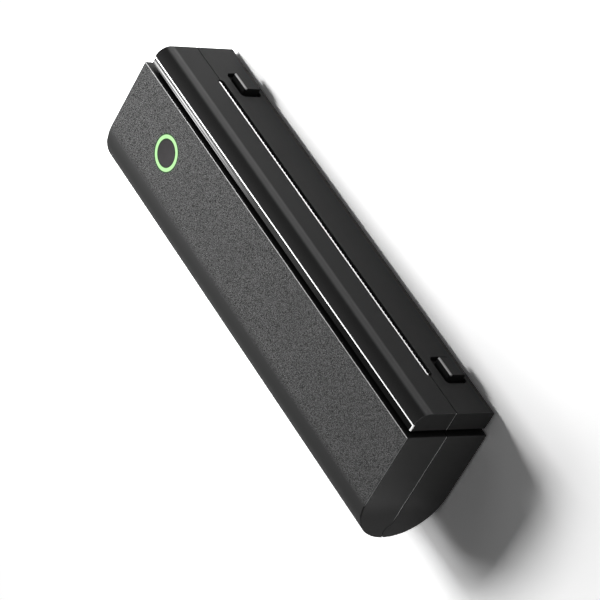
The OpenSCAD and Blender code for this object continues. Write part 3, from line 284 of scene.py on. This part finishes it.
# Painted highlights: thin light lines on the top's front and end edges and on the end faces' seam.
front_edge = casing.rise(z, CASING_TOP - EDGE_W, CASING_TOP - 0.2) * (
    1 - casing.rise(y, CASING_FRONT + 0.22, CASING_FRONT + EDGE_W))
end_edge = (casing.rise(z, CASING_TOP - EDGE_W, CASING_TOP - 0.3)
            * casing.rise(abs(x), CASING_END - EDGE_W, CASING_END - 0.3)
            * (1 - casing.rise(y, ROUND_START, ROUND_START + 4)))
seam_highlight = casing.band(z, SEAM + 0.1, SEAM + 0.55, 0.1) * on_end * (
    1 - casing.rise(y, SEAM_LINE_END - 3, SEAM_LINE_END + 3))
painted_edge_highlight = casing.widest(front_edge, end_edge, seam_highlight)

# Pebbles painted light on top and near black in creases: grain with painted sheen and shade.
tone = casing.mix(casing.rise(crease * fine, 0.15, 0.70), grey(0.010), grey(0.36))
tone = casing.mix(on_top * casing.rise(broad, 0.3, 0.9) * 0.25, tone, grey(0.06))
# The end faces are painted lighter than the rest of the sides, as painted light.
tone = casing.mix(on_top, casing.mix(on_end, grey(0.013), grey(0.075)), tone)
# The groove beside the head is painted near black, as painted shade.
tone = casing.mix(shaded_groove, tone, grey(0.003))
tone = casing.mix(painted_edge_highlight, tone, grey(0.9))
casing_finish = casing.surface(
    tone, 0.50 + on_top * 0.08 + drum * 0.25 - painted_edge_highlight * 0.2,
    Normal=casing.bump(height * (1 - painted_edge_highlight)), Specular_IOR_Level=0.15)


def dress(material, *nodes):
    """Puts a finish on CAD nodes."""
    for node in nodes:
        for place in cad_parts[node].material_slots:
            place.material = material


dress(casing_finish, "cover_shell", "base_shell")


# The head along the front: two satin black mouldings that carry the paper slot between them. The
# mould is finely eroded, and smoothest in a band low on the round under the trim. That band is
# painted lighter as a highlight, and the round above it is painted darker as shade. The end
# faces are painted lighter, the faces in the groove near black as shade, and a thin highlight is
# painted along the seam on the end faces.
HEAD_END, HEAD_BACK = 132.5, -29.0
SMOOTH_LOW, SMOOTH_HIGH = 41.6, 43.6

fascia = Finish("head_satin")
x, y, z = fascia.axes()
sand = fascia.noise(fascia.place(), 3.0, 2.0)
cloud = fascia.noise(fascia.place((0.3, 1, 1)), 0.08, 2.0)
in_groove = fascia.rise(y, HEAD_BACK - 0.3, HEAD_BACK)
on_end = fascia.rise(abs(x), HEAD_END - 0.3, HEAD_END - 0.1)
# A band low on the round is smoother, and painted lighter as a highlight.
smooth_band_highlight = fascia.band(z, SMOOTH_LOW, SMOOTH_HIGH, 1.9)
# Above the band the round is painted darker, as painted shade.
shaded = fascia.rise(z, SMOOTH_HIGH, SMOOTH_HIGH + 2.5) * (1 - on_end)
# A thin highlight is painted along the seam on the end faces.
seam_highlight = fascia.band(z, SEAM + 0.2, SEAM + 0.6, 0.1) * on_end
tone = fascia.mix(cloud, grey(0.006), grey(0.010))
tone = fascia.mix(shaded, tone, grey(0.003))
tone = fascia.mix(smooth_band_highlight, tone, grey(0.060))
# The end faces are painted lighter, as painted light.
tone = fascia.mix(on_end, tone, grey(0.040))
# The faces in the groove are painted near black, as painted shade.
tone = fascia.mix(in_groove, tone, grey(0.002))
tone = fascia.mix(seam_highlight, tone, grey(0.45))
fascia_finish = fascia.surface(
    tone, 0.58 - smooth_band_highlight * 0.12 + shaded * 0.2 + (sand - 0.5) * 0.08,
    Normal=fascia.bump(sand * 0.006), Specular_IOR_Level=0.12)
dress(fascia_finish, "upper_fascia", "lower_fascia")


# The trim: a strip of black anodised aluminium glued into the head's top. It is brushed along its
# length, and its streaks are painted lighter towards the far end, as a painted reflection of the
# lamps. A thin line behind the front bead is painted near black as a groove's shade, and the bead
# is cut back to bright metal.
TRIM_FRONT, BEAD_W, HOOK_W = -32.8, 0.72, 0.75
LINE_START, LINE_W = TRIM_FRONT + 0.8, 0.35
PAINTED_SHEEN_START, PAINTED_SHEEN_END = 10, 110

trim = Finish("trim_brushed")
x, y, z = trim.axes()
bead = 1 - trim.rise(y, TRIM_FRONT + BEAD_W - 0.1, TRIM_FRONT + BEAD_W)
hook = trim.rise(abs(x), HEAD_END - HOOK_W, HEAD_END - HOOK_W + 0.1)
bright = trim.widest(bead, hook)
# A thin line behind the bead is painted near black, as a groove's painted shade.
dark_line = trim.band(y, LINE_START, LINE_START + LINE_W, 0.05) * (1 - bright)
brush = trim.noise(trim.place((0.008, 1.8, 1.0)), 1.2, 4.0, 0.6)
# Brushed streaks, painted lighter towards the far end as a painted reflection of the lamps.
brush_streak_and_sheen = trim.rise(brush, 0.42, 0.66) * trim.rise(x, PAINTED_SHEEN_START, PAINTED_SHEEN_END)
tone = trim.mix(brush_streak_and_sheen, grey(0.003), grey(0.14))
tone = trim.mix(dark_line, tone, grey(0.002))
tone = trim.mix(bright, tone, grey(0.85))
trim_finish = trim.surface(
    tone, 0.12 + brush * 0.08 + bright * 0.30, Metallic=1.0,
    Normal=trim.bump(brush * 0.006 * (1 - bright)))
dress(trim_finish, "top_trim")


# The tear bar: a strip of stainless steel in the slot, brushed along its length. It is bright
# down to the tips of its teeth, and the teeth are painted near black as the slot's shade.
TIPS = 25.4
blade = Finish("blade_bright")
x, y, z = blade.axes()
brush = blade.noise(blade.place((0.02, 2.0, 2.0)), 1.5, 3.0)
# Below TIPS the teeth are painted near black, as the slot's painted shade.
above_tips = blade.rise(z, TIPS, TIPS + 0.1)
tone = blade.mix(brush, grey(0.78), grey(0.95))
blade_finish = blade.surface(
    blade.mix(above_tips, grey(0.012), tone), 0.42 + brush * 0.12, Metallic=0.9,
    Normal=blade.bump(brush * 0.003))
dress(blade_finish, "tear_bar")


# The two latch tabs, moulded in the head's black plastic. A thin highlight is painted along each
# top edge, and the sides behind the front face are painted near black as shade. Each one is
# pushed in, against its spring, to let the top come open.
TAB_FRONT, TAB_MIDDLE_X = -42.1, 103.6
TAB_RIM_LOW, TAB_RIM_HIGH = 15.2, 16.2
tab = Finish("tab_satin")
x, y, z = tab.axes()
sand = tab.noise(tab.place(), 4.0, 2.0)
# Behind the front face the sides are painted near black, as painted shade.
face = 1 - tab.rise(y, TAB_FRONT + 0.25, TAB_FRONT + 0.6)
# A thin highlight is painted along each tab's top front edge.
rim = tab.band(z, TAB_RIM_LOW, TAB_RIM_HIGH, 0.15) * tab.band(
    y, TAB_FRONT + 0.05, TAB_FRONT + 0.7, 0.1)
tone = tab.mix(sand, grey(0.006), grey(0.013))
tone = tab.mix(face, grey(0.003), tone)
tone = tab.mix(rim, tone, grey(0.5))
tab_finish = tab.surface(
    tone, 0.60 + (sand - 0.5) * 0.10, Normal=tab.bump(sand * 0.006), Specular_IOR_Level=0.11)
dress(tab_finish, "latch_left", "latch_right")


# The power button: a dished cap of smooth dark grey plastic inside a ring that is moulded in
# milky green and lit from the board below. The ring's two rims are moulded darker.
BUTTON_X, BUTTON_Y = 90.6, -4.4
RING_R, CAP_R = 10.0, 6.9

cap = Finish("cap_smooth")
cloud = cap.noise(cap.place(), 0.25, 2.0)
sand = cap.noise(cap.place(), 3.5)
cap_finish = cap.surface(
    cap.mix(cloud, (0.028, 0.026, 0.027, 1), (0.038, 0.035, 0.037, 1)), 0.6,
    Normal=cap.bump(sand * 0.004), Specular_IOR_Level=0.06)
dress(cap_finish, "button_cap")

ring = Finish("ring_lit")
x, y, z = ring.axes()
out = ((x - BUTTON_X) ** 2.0 + (y - BUTTON_Y) ** 2.0) ** 0.5
lit_face = ring.rise(z, CASING_TOP - 1.2, CASING_TOP - 0.1)
core = ring.band(out, CAP_R + 0.60, RING_R - 0.80, 0.20)
milk = ring.noise(ring.place(), 0.35, 2.0)
body = ring.mix(core, (0.004, 0.024, 0.004, 1), (0.05, 0.11, 0.04, 1))
glow = ring.mix(milk, (0.42, 0.82, 0.32, 1), (0.58, 0.97, 0.46, 1))
glow = ring.mix(lit_face * core, (0.004, 0.03, 0.004, 1), glow)
ring_finish = ring.surface(
    body, 0.45, Specular_IOR_Level=0.1, Emission_Color=glow, Emission_Strength=0.9)
dress(ring_finish, "light_ring")


# The pressed steel inside: side plates that hold the gears and the print head, and the motor's
# bracket. They are stamped from zinc-plated sheet, whose crystals show as faint flakes.
sheet = Finish("sheet_zinc")
flake = sheet.chance(sheet.place(), 0.12)
drawn = sheet.noise(sheet.place((1.0, 0.05, 1.0)), 2.5, 3.0)
sheet_finish = sheet.surface(
    sheet.mix(flake, (0.50, 0.51, 0.53, 1), (0.66, 0.67, 0.69, 1)), 0.30 + drawn * 0.2,
    Metallic=1.0, Normal=sheet.bump(drawn * 0.004))
dress(sheet_finish, "side_plate_left", "side_plate_right", "motor_bracket")


# The stepping motor: a tin-plated can with a rolled seam near each end and a black moulded end
# bell. Its brass pinion is cut on a hobbing machine, which leaves fine rings.
CAN_REAR, BELL_L, SEAM_W = -79.0, 3.0, 0.4
CAN_SEAMS = (CAN_REAR - 3.6, CAN_REAR - 16.4)
motor = Finish("motor_can")
x, y, z = motor.axes()
turned = motor.noise(motor.place((0.8, 0.04, 0.04)), 3.0, 3.0)
bell = motor.rise(x, CAN_REAR - BELL_L - 0.1, CAN_REAR - BELL_L + 0.1)
# The rolled seams' grooves are painted dark grey, as painted shade.
shaded_groove = motor.widest(*(motor.band(x, seam, seam + SEAM_W, 0.1) for seam in CAN_SEAMS))
tone = motor.mix(turned, (0.44, 0.45, 0.47, 1), (0.60, 0.60, 0.61, 1))
tone = motor.mix(bell, motor.mix(shaded_groove, tone, grey(0.15)), grey(0.025))
motor_finish = motor.surface(
    tone, 0.26 + turned * 0.16 + bell * 0.2, Metallic=1 - bell,
    Normal=motor.bump(turned * 0.004 - shaded_groove * 0.15))
dress(motor_finish, "motor")

brass = Finish("pinion_brass")
rings = brass.noise(brass.place((1.0, 0.05, 0.05)), 5.0, 3.0)
brass_finish = brass.surface(
    brass.mix(rings, (0.66, 0.46, 0.17, 1), (0.84, 0.64, 0.30, 1)), 0.20 + rings * 0.2,
    Metallic=1.0, Normal=brass.bump(rings * 0.004))
dress(brass_finish, "motor_pinion")


# The two white gears and the roller's bushings, moulded in nylon. The mould leaves them faintly
# mottled, and a little grease has darkened the gears' faces.
gear = Finish("gear_nylon")
mottle = gear.noise(gear.place(), 0.6, 2.0)
grease = gear.rise(gear.noise(gear.place(), 0.22, 3.0), 0.5, 0.75)
tone = gear.mix(mottle, (0.72, 0.71, 0.66, 1), (0.84, 0.83, 0.79, 1))
gear_finish = gear.surface(
    gear.mix(grease * 0.5, tone, (0.58, 0.54, 0.42, 1)), 0.42 - grease * 0.16,
    Normal=gear.bump(mottle * 0.01))
dress(gear_finish, "idler_gear", "platen_gear", "platen_bushings")


# The platen roller: black silicone rubber, moulded on its steel shaft and ground true, so it
# carries fine rings and a dusty bloom.
rubber = Finish("roller_rubber")
turned = rubber.noise(rubber.place((1.0, 0.05, 0.05)), 4.0, 3.0)
bloom = rubber.noise(rubber.place((0.2, 1, 1)), 0.15, 3.0)
rubber_finish = rubber.surface(
    rubber.mix(turned * 0.5 + bloom * 0.5, grey(0.022), grey(0.066)), 0.75,
    Normal=rubber.bump(turned * 0.02))
dress(rubber_finish, "platen_roller")


# The print head: an extruded aluminium heat sink with a glazed ceramic plate on it. The heater
# line is a dark glaze bead across the plate, fed by fine gold leads from a strip of coated chips.
HEATER_Y, BEAD_HALF = -23.9, 0.65
DOT_PITCH, LEAD_PITCH, LEADS_FRONT = 0.5, 0.8, -26.6
CHIPS_FRONT, CHIPS_BACK = -28.2, -26.8
sink = Finish("sink_extruded")
die = sink.noise(sink.place((0.01, 1.0, 1.0)), 2.2, 3.0)
sink_finish = sink.surface(
    sink.mix(die, (0.60, 0.61, 0.62, 1), (0.78, 0.79, 0.80, 1)), 0.28 + die * 0.2, Metallic=1.0,
    Normal=sink.bump(die * 0.01))
dress(sink_finish, "head_heatsink")

plate = Finish("ceramic_glazed")
x, y, z = plate.axes()
bead = plate.band(y, HEATER_Y - BEAD_HALF, HEATER_Y + BEAD_HALF, 0.08)
dots = plate.rise(abs(x % DOT_PITCH - DOT_PITCH / 2), 0.04, 0.09)
leads = plate.band(y, LEADS_FRONT, HEATER_Y - BEAD_HALF, 0.05) * (
    1 - plate.rise(abs(x % LEAD_PITCH - LEAD_PITCH / 2), 0.08, 0.14))
chips = plate.band(y, CHIPS_FRONT, CHIPS_BACK, 0.2)
bisque = plate.noise(plate.place(), 1.2, 2.0)
tone = plate.mix(bisque, (0.72, 0.70, 0.62, 1), (0.82, 0.80, 0.74, 1))
tone = plate.mix(leads, tone, (0.62, 0.44, 0.16, 1))
tone = plate.mix(chips, tone, grey(0.015))
tone = plate.mix(bead, tone, plate.mix(dots, (0.16, 0.10, 0.06, 1), (0.05, 0.035, 0.03, 1)))
plate_finish = plate.surface(
    tone, 0.30 - bead * 0.18, Normal=plate.bump(bisque * 0.004 + chips * 0.2))
dress(plate_finish, "heater_plate")


# The connector under the print head, moulded in cream nylon. A row of contact slots is open at
# its foot, where the flat cable goes in.
PIN_PITCH, SLOT_TOP = 1.25, 19.0
SLOTS_START, SLOTS_END = 69.5, 86.5
plug = Finish("plug_cream")
x, y, z = plug.axes()
# The open slots are painted near black, as the painted shade inside them.
slots = ((1 - plug.rise(abs(x % PIN_PITCH - PIN_PITCH / 2), 0.22, 0.30))
         * (1 - plug.rise(z, SLOT_TOP, SLOT_TOP + 0.2))
         * plug.band(x, SLOTS_START, SLOTS_END, 0.1))
grain = plug.noise(plug.place(), 0.8, 2.0)
tone = plug.mix(grain, (0.76, 0.73, 0.63, 1), (0.84, 0.82, 0.74, 1))
plug_finish = plug.surface(
    plug.mix(slots, tone, grey(0.04)), 0.4, Normal=plug.bump(grain * 0.008 - slots * 0.3))
dress(plug_finish, "head_connector")


# The head's flat cable: copper tracks between two amber films. It runs straight down from the
# connector and along the floor to the main board.
TRACK_PITCH, TRACKS_START, TRACKS_END = 1.0, 70.2, 85.8
film = Finish("cable_amber")
x, y, z = film.axes()
track = (1 - film.rise(abs(x % TRACK_PITCH - TRACK_PITCH / 2), 0.26, 0.32)) * film.band(
    x, TRACKS_START, TRACKS_END, 0.1)
ripple = film.noise(film.place((1, 0.3, 0.3)), 0.3, 2.0)
tone = film.mix(ripple, (0.40, 0.17, 0.03, 1), (0.54, 0.27, 0.06, 1))
film_finish = film.surface(
    film.mix(track, tone, (0.66, 0.36, 0.12, 1)), 0.28, Metallic=track * 0.5,
    Normal=film.bump(track * 0.03 + ripple * 0.1))
dress(film_finish, "head_cable")


# The circuit boards: glass epoxy under green lacquer, with copper tracks, tinned rings round the
# screws and tan sawn edges. The main and charging boards are low in the base, and the button's
# board is under the top.
BOARD_LOW, BOARD_T, BUTTON_BOARD_LOW = 6.0, 1.6, 41.6
SCREW_HOLES = [(x, y) for x in (63, 97, 117.4) for y in (-16.9, 3.1)]
ALONG_PITCH, ACROSS_PITCH, TINNED_R = 1.1, 1.3, 2.0

lacquer = Finish("board_lacquer")
x, y, z = lacquer.axes()
level = (z - BOARD_LOW) % (BUTTON_BOARD_LOW - BOARD_LOW)
sawn = lacquer.band(level, 0.1, BOARD_T - 0.1, 0.02)
area = lacquer.chance(lacquer.place((1, 1, 0)), 0.14)
along = lacquer.rise(area, 0.45, 0.47) * (
    1 - lacquer.rise(abs(y % ALONG_PITCH - ALONG_PITCH / 2), 0.15, 0.22))
across = (1 - lacquer.rise(area, 0.30, 0.32)) * (
    1 - lacquer.rise(abs(x % ACROSS_PITCH - ACROSS_PITCH / 2), 0.15, 0.22))
via = 1 - lacquer.rise(lacquer.cells(lacquer.place((1, 1, 0)), 0.35), 0.11, 0.14)
rings = [1 - lacquer.rise(((x - hole_x) ** 2.0 + (y - hole_y) ** 2.0) ** 0.5,
                          TINNED_R, TINNED_R + 0.1)
         for hole_x, hole_y in SCREW_HOLES]
tinned = lacquer.widest(via, *rings) * (1 - sawn)
weave = lacquer.noise(lacquer.place((1, 1, 0.2)), 1.6, 2.0)
tone = lacquer.mix(weave, (0.010, 0.085, 0.035, 1), (0.016, 0.12, 0.05, 1))
tone = lacquer.mix(lacquer.widest(along, across), tone, (0.03, 0.21, 0.08, 1))
tone = lacquer.mix(tinned, tone, (0.72, 0.70, 0.64, 1))
tone = lacquer.mix(sawn, tone, (0.40, 0.31, 0.15, 1))
lacquer_finish = lacquer.surface(
    tone, 0.28 + sawn * 0.4, Metallic=tinned,
    Normal=lacquer.bump(lacquer.widest(along, across, tinned) * 0.035 * (1 - sawn)))
dress(lacquer_finish, "main_board", "charge_board", "button_board")


# The parts soldered on the boards: black epoxy chips with tinned feet, sleeved aluminium
# capacitors, small tan resistors and the cream socket that takes the head's cable.
SOCKET_BACK, SOCKET_PITCH = -14.85, 1.0
CANS_X, CANS_Y, CANS_TOP = (79.9, 95.8), (-1.6, 3.2), 11.3
RESISTOR_X, RESISTOR_HALF, BODY_HALF = 93.0, 1.1, 0.6
FEET_TOP, FEET_PITCH = 7.85, 0.8
part = Finish("chips_and_parts")
x, y, z = part.axes()
on_socket = 1 - part.rise(y, SOCKET_BACK, SOCKET_BACK + 0.05)
on_can = part.band(y, *CANS_Y, 0.02) * part.band(x, *CANS_X, 0.02)
on_resistor = 1 - part.rise(abs(x - RESISTOR_X), RESISTOR_HALF, RESISTOR_HALF + 0.05)
feet = (1 - part.rise(z, FEET_TOP, FEET_TOP + 0.1)) * part.rise(
    abs(x % FEET_PITCH - FEET_PITCH / 2), 0.15, 0.2)
ends = on_resistor * part.rise(abs(x - RESISTOR_X), BODY_HALF, BODY_HALF + 0.05)
can_top = on_can * part.rise(z, CANS_TOP, CANS_TOP + 0.1)
pins = on_socket * (1 - part.rise(abs(x % SOCKET_PITCH - SOCKET_PITCH / 2), 0.16, 0.22))
metal = part.widest(feet * (1 - on_socket), ends, can_top, pins)
speck = part.noise(part.place(), 2.5, 2.0)
tone = part.mix(speck, grey(0.016), grey(0.036))
tone = part.mix(on_socket, tone, (0.78, 0.75, 0.66, 1))
tone = part.mix(on_can, tone, (0.012, 0.016, 0.05, 1))
tone = part.mix(on_resistor, tone, (0.42, 0.28, 0.13, 1))
part_finish = part.surface(
    part.mix(metal, tone, (0.70, 0.70, 0.71, 1)), 0.44 - metal * 0.14, Metallic=metal,
    Normal=part.bump(speck * 0.01))
dress(part_finish, "board_parts")


# The switch under the cap: a steel frame with a dark plunger, and four white lamps round it that
# light the ring, each with a clear window on its top.
LAMPS_INNER_R, WINDOW_R, WINDOW_HALF = 6.2, 8.2, 0.6
PLUNGER_LOW, LAMP_TOP = 44.85, 43.9
switch = Finish("switch_and_lamps")
x, y, z = switch.axes()
out = ((x - BUTTON_X) ** 2.0 + (y - BUTTON_Y) ** 2.0) ** 0.5
lamp = switch.rise(out, LAMPS_INNER_R, LAMPS_INNER_R + 0.2)
plunger = switch.rise(z, PLUNGER_LOW, PLUNGER_LOW + 0.05)
window = (lamp * switch.band(out, WINDOW_R - WINDOW_HALF, WINDOW_R + WINDOW_HALF, 0.1)
          * switch.rise(z, LAMP_TOP, LAMP_TOP + 0.05))
rolled = switch.noise(switch.place((0.2, 1, 1)), 2.0, 2.0)
tone = switch.mix(rolled, grey(0.50), grey(0.66))
tone = switch.mix(plunger, tone, grey(0.02))
tone = switch.mix(lamp, tone, (0.82, 0.82, 0.78, 1))
tone = switch.mix(window, tone, (0.42, 0.70, 0.30, 1))
switch_finish = switch.surface(
    tone, 0.34, Metallic=(1 - plunger) * (1 - lamp), Normal=switch.bump(rolled * 0.003))
dress(switch_finish, "button_switch")


# The charging socket: a drawn steel shell, tin-plated, round a black tongue that has a row of
# gilded contacts on each side.
SOCKET_Y, SOCKET_Z = -9.9, 9.2
TONGUE_HALF_T, TONGUE_HALF_W = 0.40, 3.2
GILT_START, GILT_PITCH = 128.5, 0.6
shell = Finish("socket_plated")
x, y, z = shell.axes()
tongue = (1 - shell.rise(abs(z - SOCKET_Z), TONGUE_HALF_T, TONGUE_HALF_T + 0.05)) * (
    1 - shell.rise(abs(y - SOCKET_Y), TONGUE_HALF_W, TONGUE_HALF_W + 0.1))
gilt = (tongue * shell.rise(x, GILT_START, GILT_START + 0.1)
        * (1 - shell.rise(abs(y % GILT_PITCH - GILT_PITCH / 2), 0.14, 0.18)))
drawn = shell.noise(shell.place((0.1, 1, 1)), 3.0, 2.0)
tone = shell.mix(drawn, grey(0.54), grey(0.70))
tone = shell.mix(tongue, tone, grey(0.015))
socket_finish = shell.surface(
    shell.mix(gilt, tone, (0.80, 0.58, 0.22, 1)), 0.26 + drawn * 0.1,
    Metallic=shell.widest(1 - tongue, gilt), Normal=shell.bump(drawn * 0.003))
dress(socket_finish, "charge_socket")


# The two cells end to end: steel cans in shrunk green sleeves. Each has a bare steel base inside
# the sleeve's curled rim, and a white washer round its button.
CELL_START, CELL_STEP, CELL_L = -76.5, 66.0, 65.0
CELL_Y, CELL_Z = -9.9, 12.4
RIM_R, KNOB_R, KNOB_L = 7.9, 3.05, 1.25
cell = Finish("cell_sleeve")
x, y, z = cell.axes()
along = (x - CELL_START) % CELL_STEP
out = ((y - CELL_Y) ** 2.0 + (z - CELL_Z) ** 2.0) ** 0.5
in_rim = 1 - cell.rise(out, RIM_R, RIM_R + 0.1)
base = (1 - cell.rise(along, 0.05, 0.1)) * in_rim
head = cell.rise(along, CELL_L - KNOB_L, CELL_L - KNOB_L + 0.05)
knob = head * (1 - cell.rise(out, KNOB_R, KNOB_R + 0.05))
washer = head * in_rim * (1 - knob)
shrunk = cell.noise(cell.place((0.15, 1, 1)), 0.8, 3.0)
lap = cell.band(z, CELL_Z - 0.4, CELL_Z + 0.3, 0.1) * cell.rise(y, CELL_Y + 8, CELL_Y + 9)
steel = cell.widest(base, knob)
tone = cell.mix(shrunk, (0.03, 0.17, 0.11, 1), (0.06, 0.28, 0.18, 1))
tone = cell.mix(lap * 0.4, tone, grey(0.01))
tone = cell.mix(washer, tone, grey(0.72))
cell_finish = cell.surface(
    cell.mix(steel, tone, grey(0.6)), 0.26 + shrunk * 0.14, Metallic=steel,
    Normal=cell.bump(shrunk * 0.03 + lap * 0.05))
dress(cell_finish, "battery_cells")


# The inner mouldings: paper tray, cell cradle, guide, roller brackets and sensor housings. They
# are moulded in black plastic and keep the mould's light sand texture.
inner = Finish("inner_black")
sand = inner.noise(inner.place(), 2.0, 2.0)
flow = inner.noise(inner.place((0.1, 1, 1)), 0.12, 3.0)
inner_finish = inner.surface(
    inner.mix(sand * 0.6 + flow * 0.4, grey(0.014), grey(0.034)), 0.44 + sand * 0.12,
    Normal=inner.bump(sand * 0.02), Specular_IOR_Level=0.3)
dress(inner_finish, "paper_tray", "battery_cradle", "upper_guide", "bracket_left", "bracket_right",
      "cover_sensor", "paper_sensor")


# The pins and shafts, turned from steel bar and ground to size, and the screws, which are rolled
# from wire and zinc-plated.
ground = Finish("ground_steel")
rings = ground.noise(ground.place((1.0, 0.03, 0.03)), 6.0, 2.0)
ground_finish = ground.surface(
    ground.mix(rings, grey(0.52), grey(0.72)), 0.18 + rings * 0.14, Metallic=1.0,
    Normal=ground.bump(rings * 0.003))
dress(ground_finish, "idler_pin", "head_pivot_pins", "hinge_pins", "platen_shaft", "motor_shaft")

zinc = Finish("screw_zinc")
worn = zinc.noise(zinc.place(), 0.9, 3.0)
zinc_finish = zinc.surface(
    zinc.mix(worn, (0.50, 0.49, 0.45, 1), (0.68, 0.68, 0.66, 1)), 0.24 + worn * 0.18,
    Metallic=1.0, Normal=zinc.bump(worn * 0.01))
dress(zinc_finish, "motor_screws", "chassis_screws", "board_screws", "lower_fascia_screws",
      "bracket_screws", "upper_fascia_screws", "button_screws")


# The springs: two stand under the print head and press it on the roller, and one lies behind
# each latch tab. They are wound from hard drawn wire, and their end turns are closed.
WIRE = 0.5
STEPS, RING = 28, 12


def coil(foot, along, radius, length, turns):
    """Points of a wound wire: rings of RING points on a helix, with STEPS rings to the turn.

    At turn t the wire's middle is radius away from the line through foot along the unit vector
    along, turned by t turns. It has climbed one wire a turn in the first and last turns, and
    the rest of the length evenly between them. Each ring is a circle as wide as the wire, and
    stands across the helix."""
    along = np.array(along, float)
    first = np.cross(along, (0.3, 0.5, 0.8))
    first /= np.linalg.norm(first)
    second = np.cross(along, first)
    t = np.linspace(0, turns, turns * STEPS + 1)[:, None, None]
    climb = np.interp(t, (0, 1, turns - 1, turns), (0, WIRE, length - 2 * WIRE, length - WIRE))
    spin = 2 * np.pi * t
    outward = np.cos(spin) * first + np.sin(spin) * second
    round_wire = 2 * np.pi * np.arange(RING)[None, :, None] / RING
    reach = radius + WIRE / 2 * np.cos(round_wire)
    rise = climb + WIRE / 2 + WIRE / 2 * np.sin(round_wire)
    return np.array(foot) + outward * reach + along * rise


def spring(name, body, node, *coils):
    """One mesh of wound wires with flat ends, which stands for a CAD node and rides on body."""
    points, faces, first = [], [], 0
    for wound in coils:
        rows = len(wound)
        number = first + np.arange(rows * RING).reshape(rows, RING)
        beside = np.roll(number, -1, axis=1)
        walls = np.stack([number[:-1], beside[:-1], beside[1:], number[1:]], axis=-1)
        faces += walls.reshape(-1, 4)[:, ::-1].tolist()
        faces += [number[0].tolist(), number[-1, ::-1].tolist()]
        points.append(wound.reshape(-1, 3))
        first += rows * RING
    made = bpy.data.meshes.new(name)
    made.from_pydata((np.concatenate(points) / MM_PER_M).tolist(), [], faces)
    made.shade_smooth()
    made.materials.append(wire_finish)
    piece = bpy.data.objects.new(name, made)
    bpy.context.scene.collection.objects.link(piece)
    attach(piece, body)
    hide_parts(node)
    return piece


wire = Finish("spring_wire")
drawn = wire.noise(wire.place(), 3.0, 2.0)
wire_finish = wire.surface(
    wire.mix(drawn, grey(0.45), grey(0.62)), 0.22 + drawn * 0.1, Metallic=1.0)

# The seats under the head stay still. In the printer the springs shorten down onto them as the
# head rocks; here each is wound at one length and rides on the base.
HEAD_SPRING_X, HEAD_SPRING_Z = 60.0, 9.03
HEAD_SPRING_R, HEAD_SPRING_L, HEAD_TURNS = 2.1, 11.14, 8
pair = spring("head_spring_pair", "base", "head_springs",
              *(coil((side * HEAD_SPRING_X, HEATER_Y, HEAD_SPRING_Z), (0, 0, 1),
                     HEAD_SPRING_R, HEAD_SPRING_L, HEAD_TURNS) for side in (-1, 1)))
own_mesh(pair)

# A pressed tab shortens its spring against the casing behind it; here each spring is wound at one
# length and rides on the base.
LATCH_SPRING_FRONT, LATCH_SPRING_Z = -35.07, 12.0
LATCH_SPRING_R, LATCH_SPRING_L, LATCH_TURNS = 2.2, 8.34, 6
for hand, side in (("left", -1), ("right", 1)):
    piece = spring(f"latch_spring_{hand}_coil", "base", f"latch_spring_{hand}",
                   coil((side * TAB_MIDDLE_X, LATCH_SPRING_FRONT, LATCH_SPRING_Z), (0, 1, 0),
                        LATCH_SPRING_R, LATCH_SPRING_L, LATCH_TURNS))
    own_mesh(piece)


# The four feet: moulded black rubber discs, sunk in the casing's floor and scuffed dusty where
# they stand.
foot = Finish("foot_rubber")
x, y, z = foot.axes()
dust = foot.rise(foot.noise(foot.place(), 0.9, 3.0), 0.45, 0.7) * (1 - foot.rise(z, 0.05, 0.2))
sand = foot.noise(foot.place(), 2.4, 2.0)
foot_finish = foot.surface(
    foot.mix(dust * 0.5, foot.mix(sand, grey(0.016), grey(0.030)), grey(0.10)), 0.8,
    Normal=foot.bump(sand * 0.02))
dress(foot_finish, "rubber_feet")
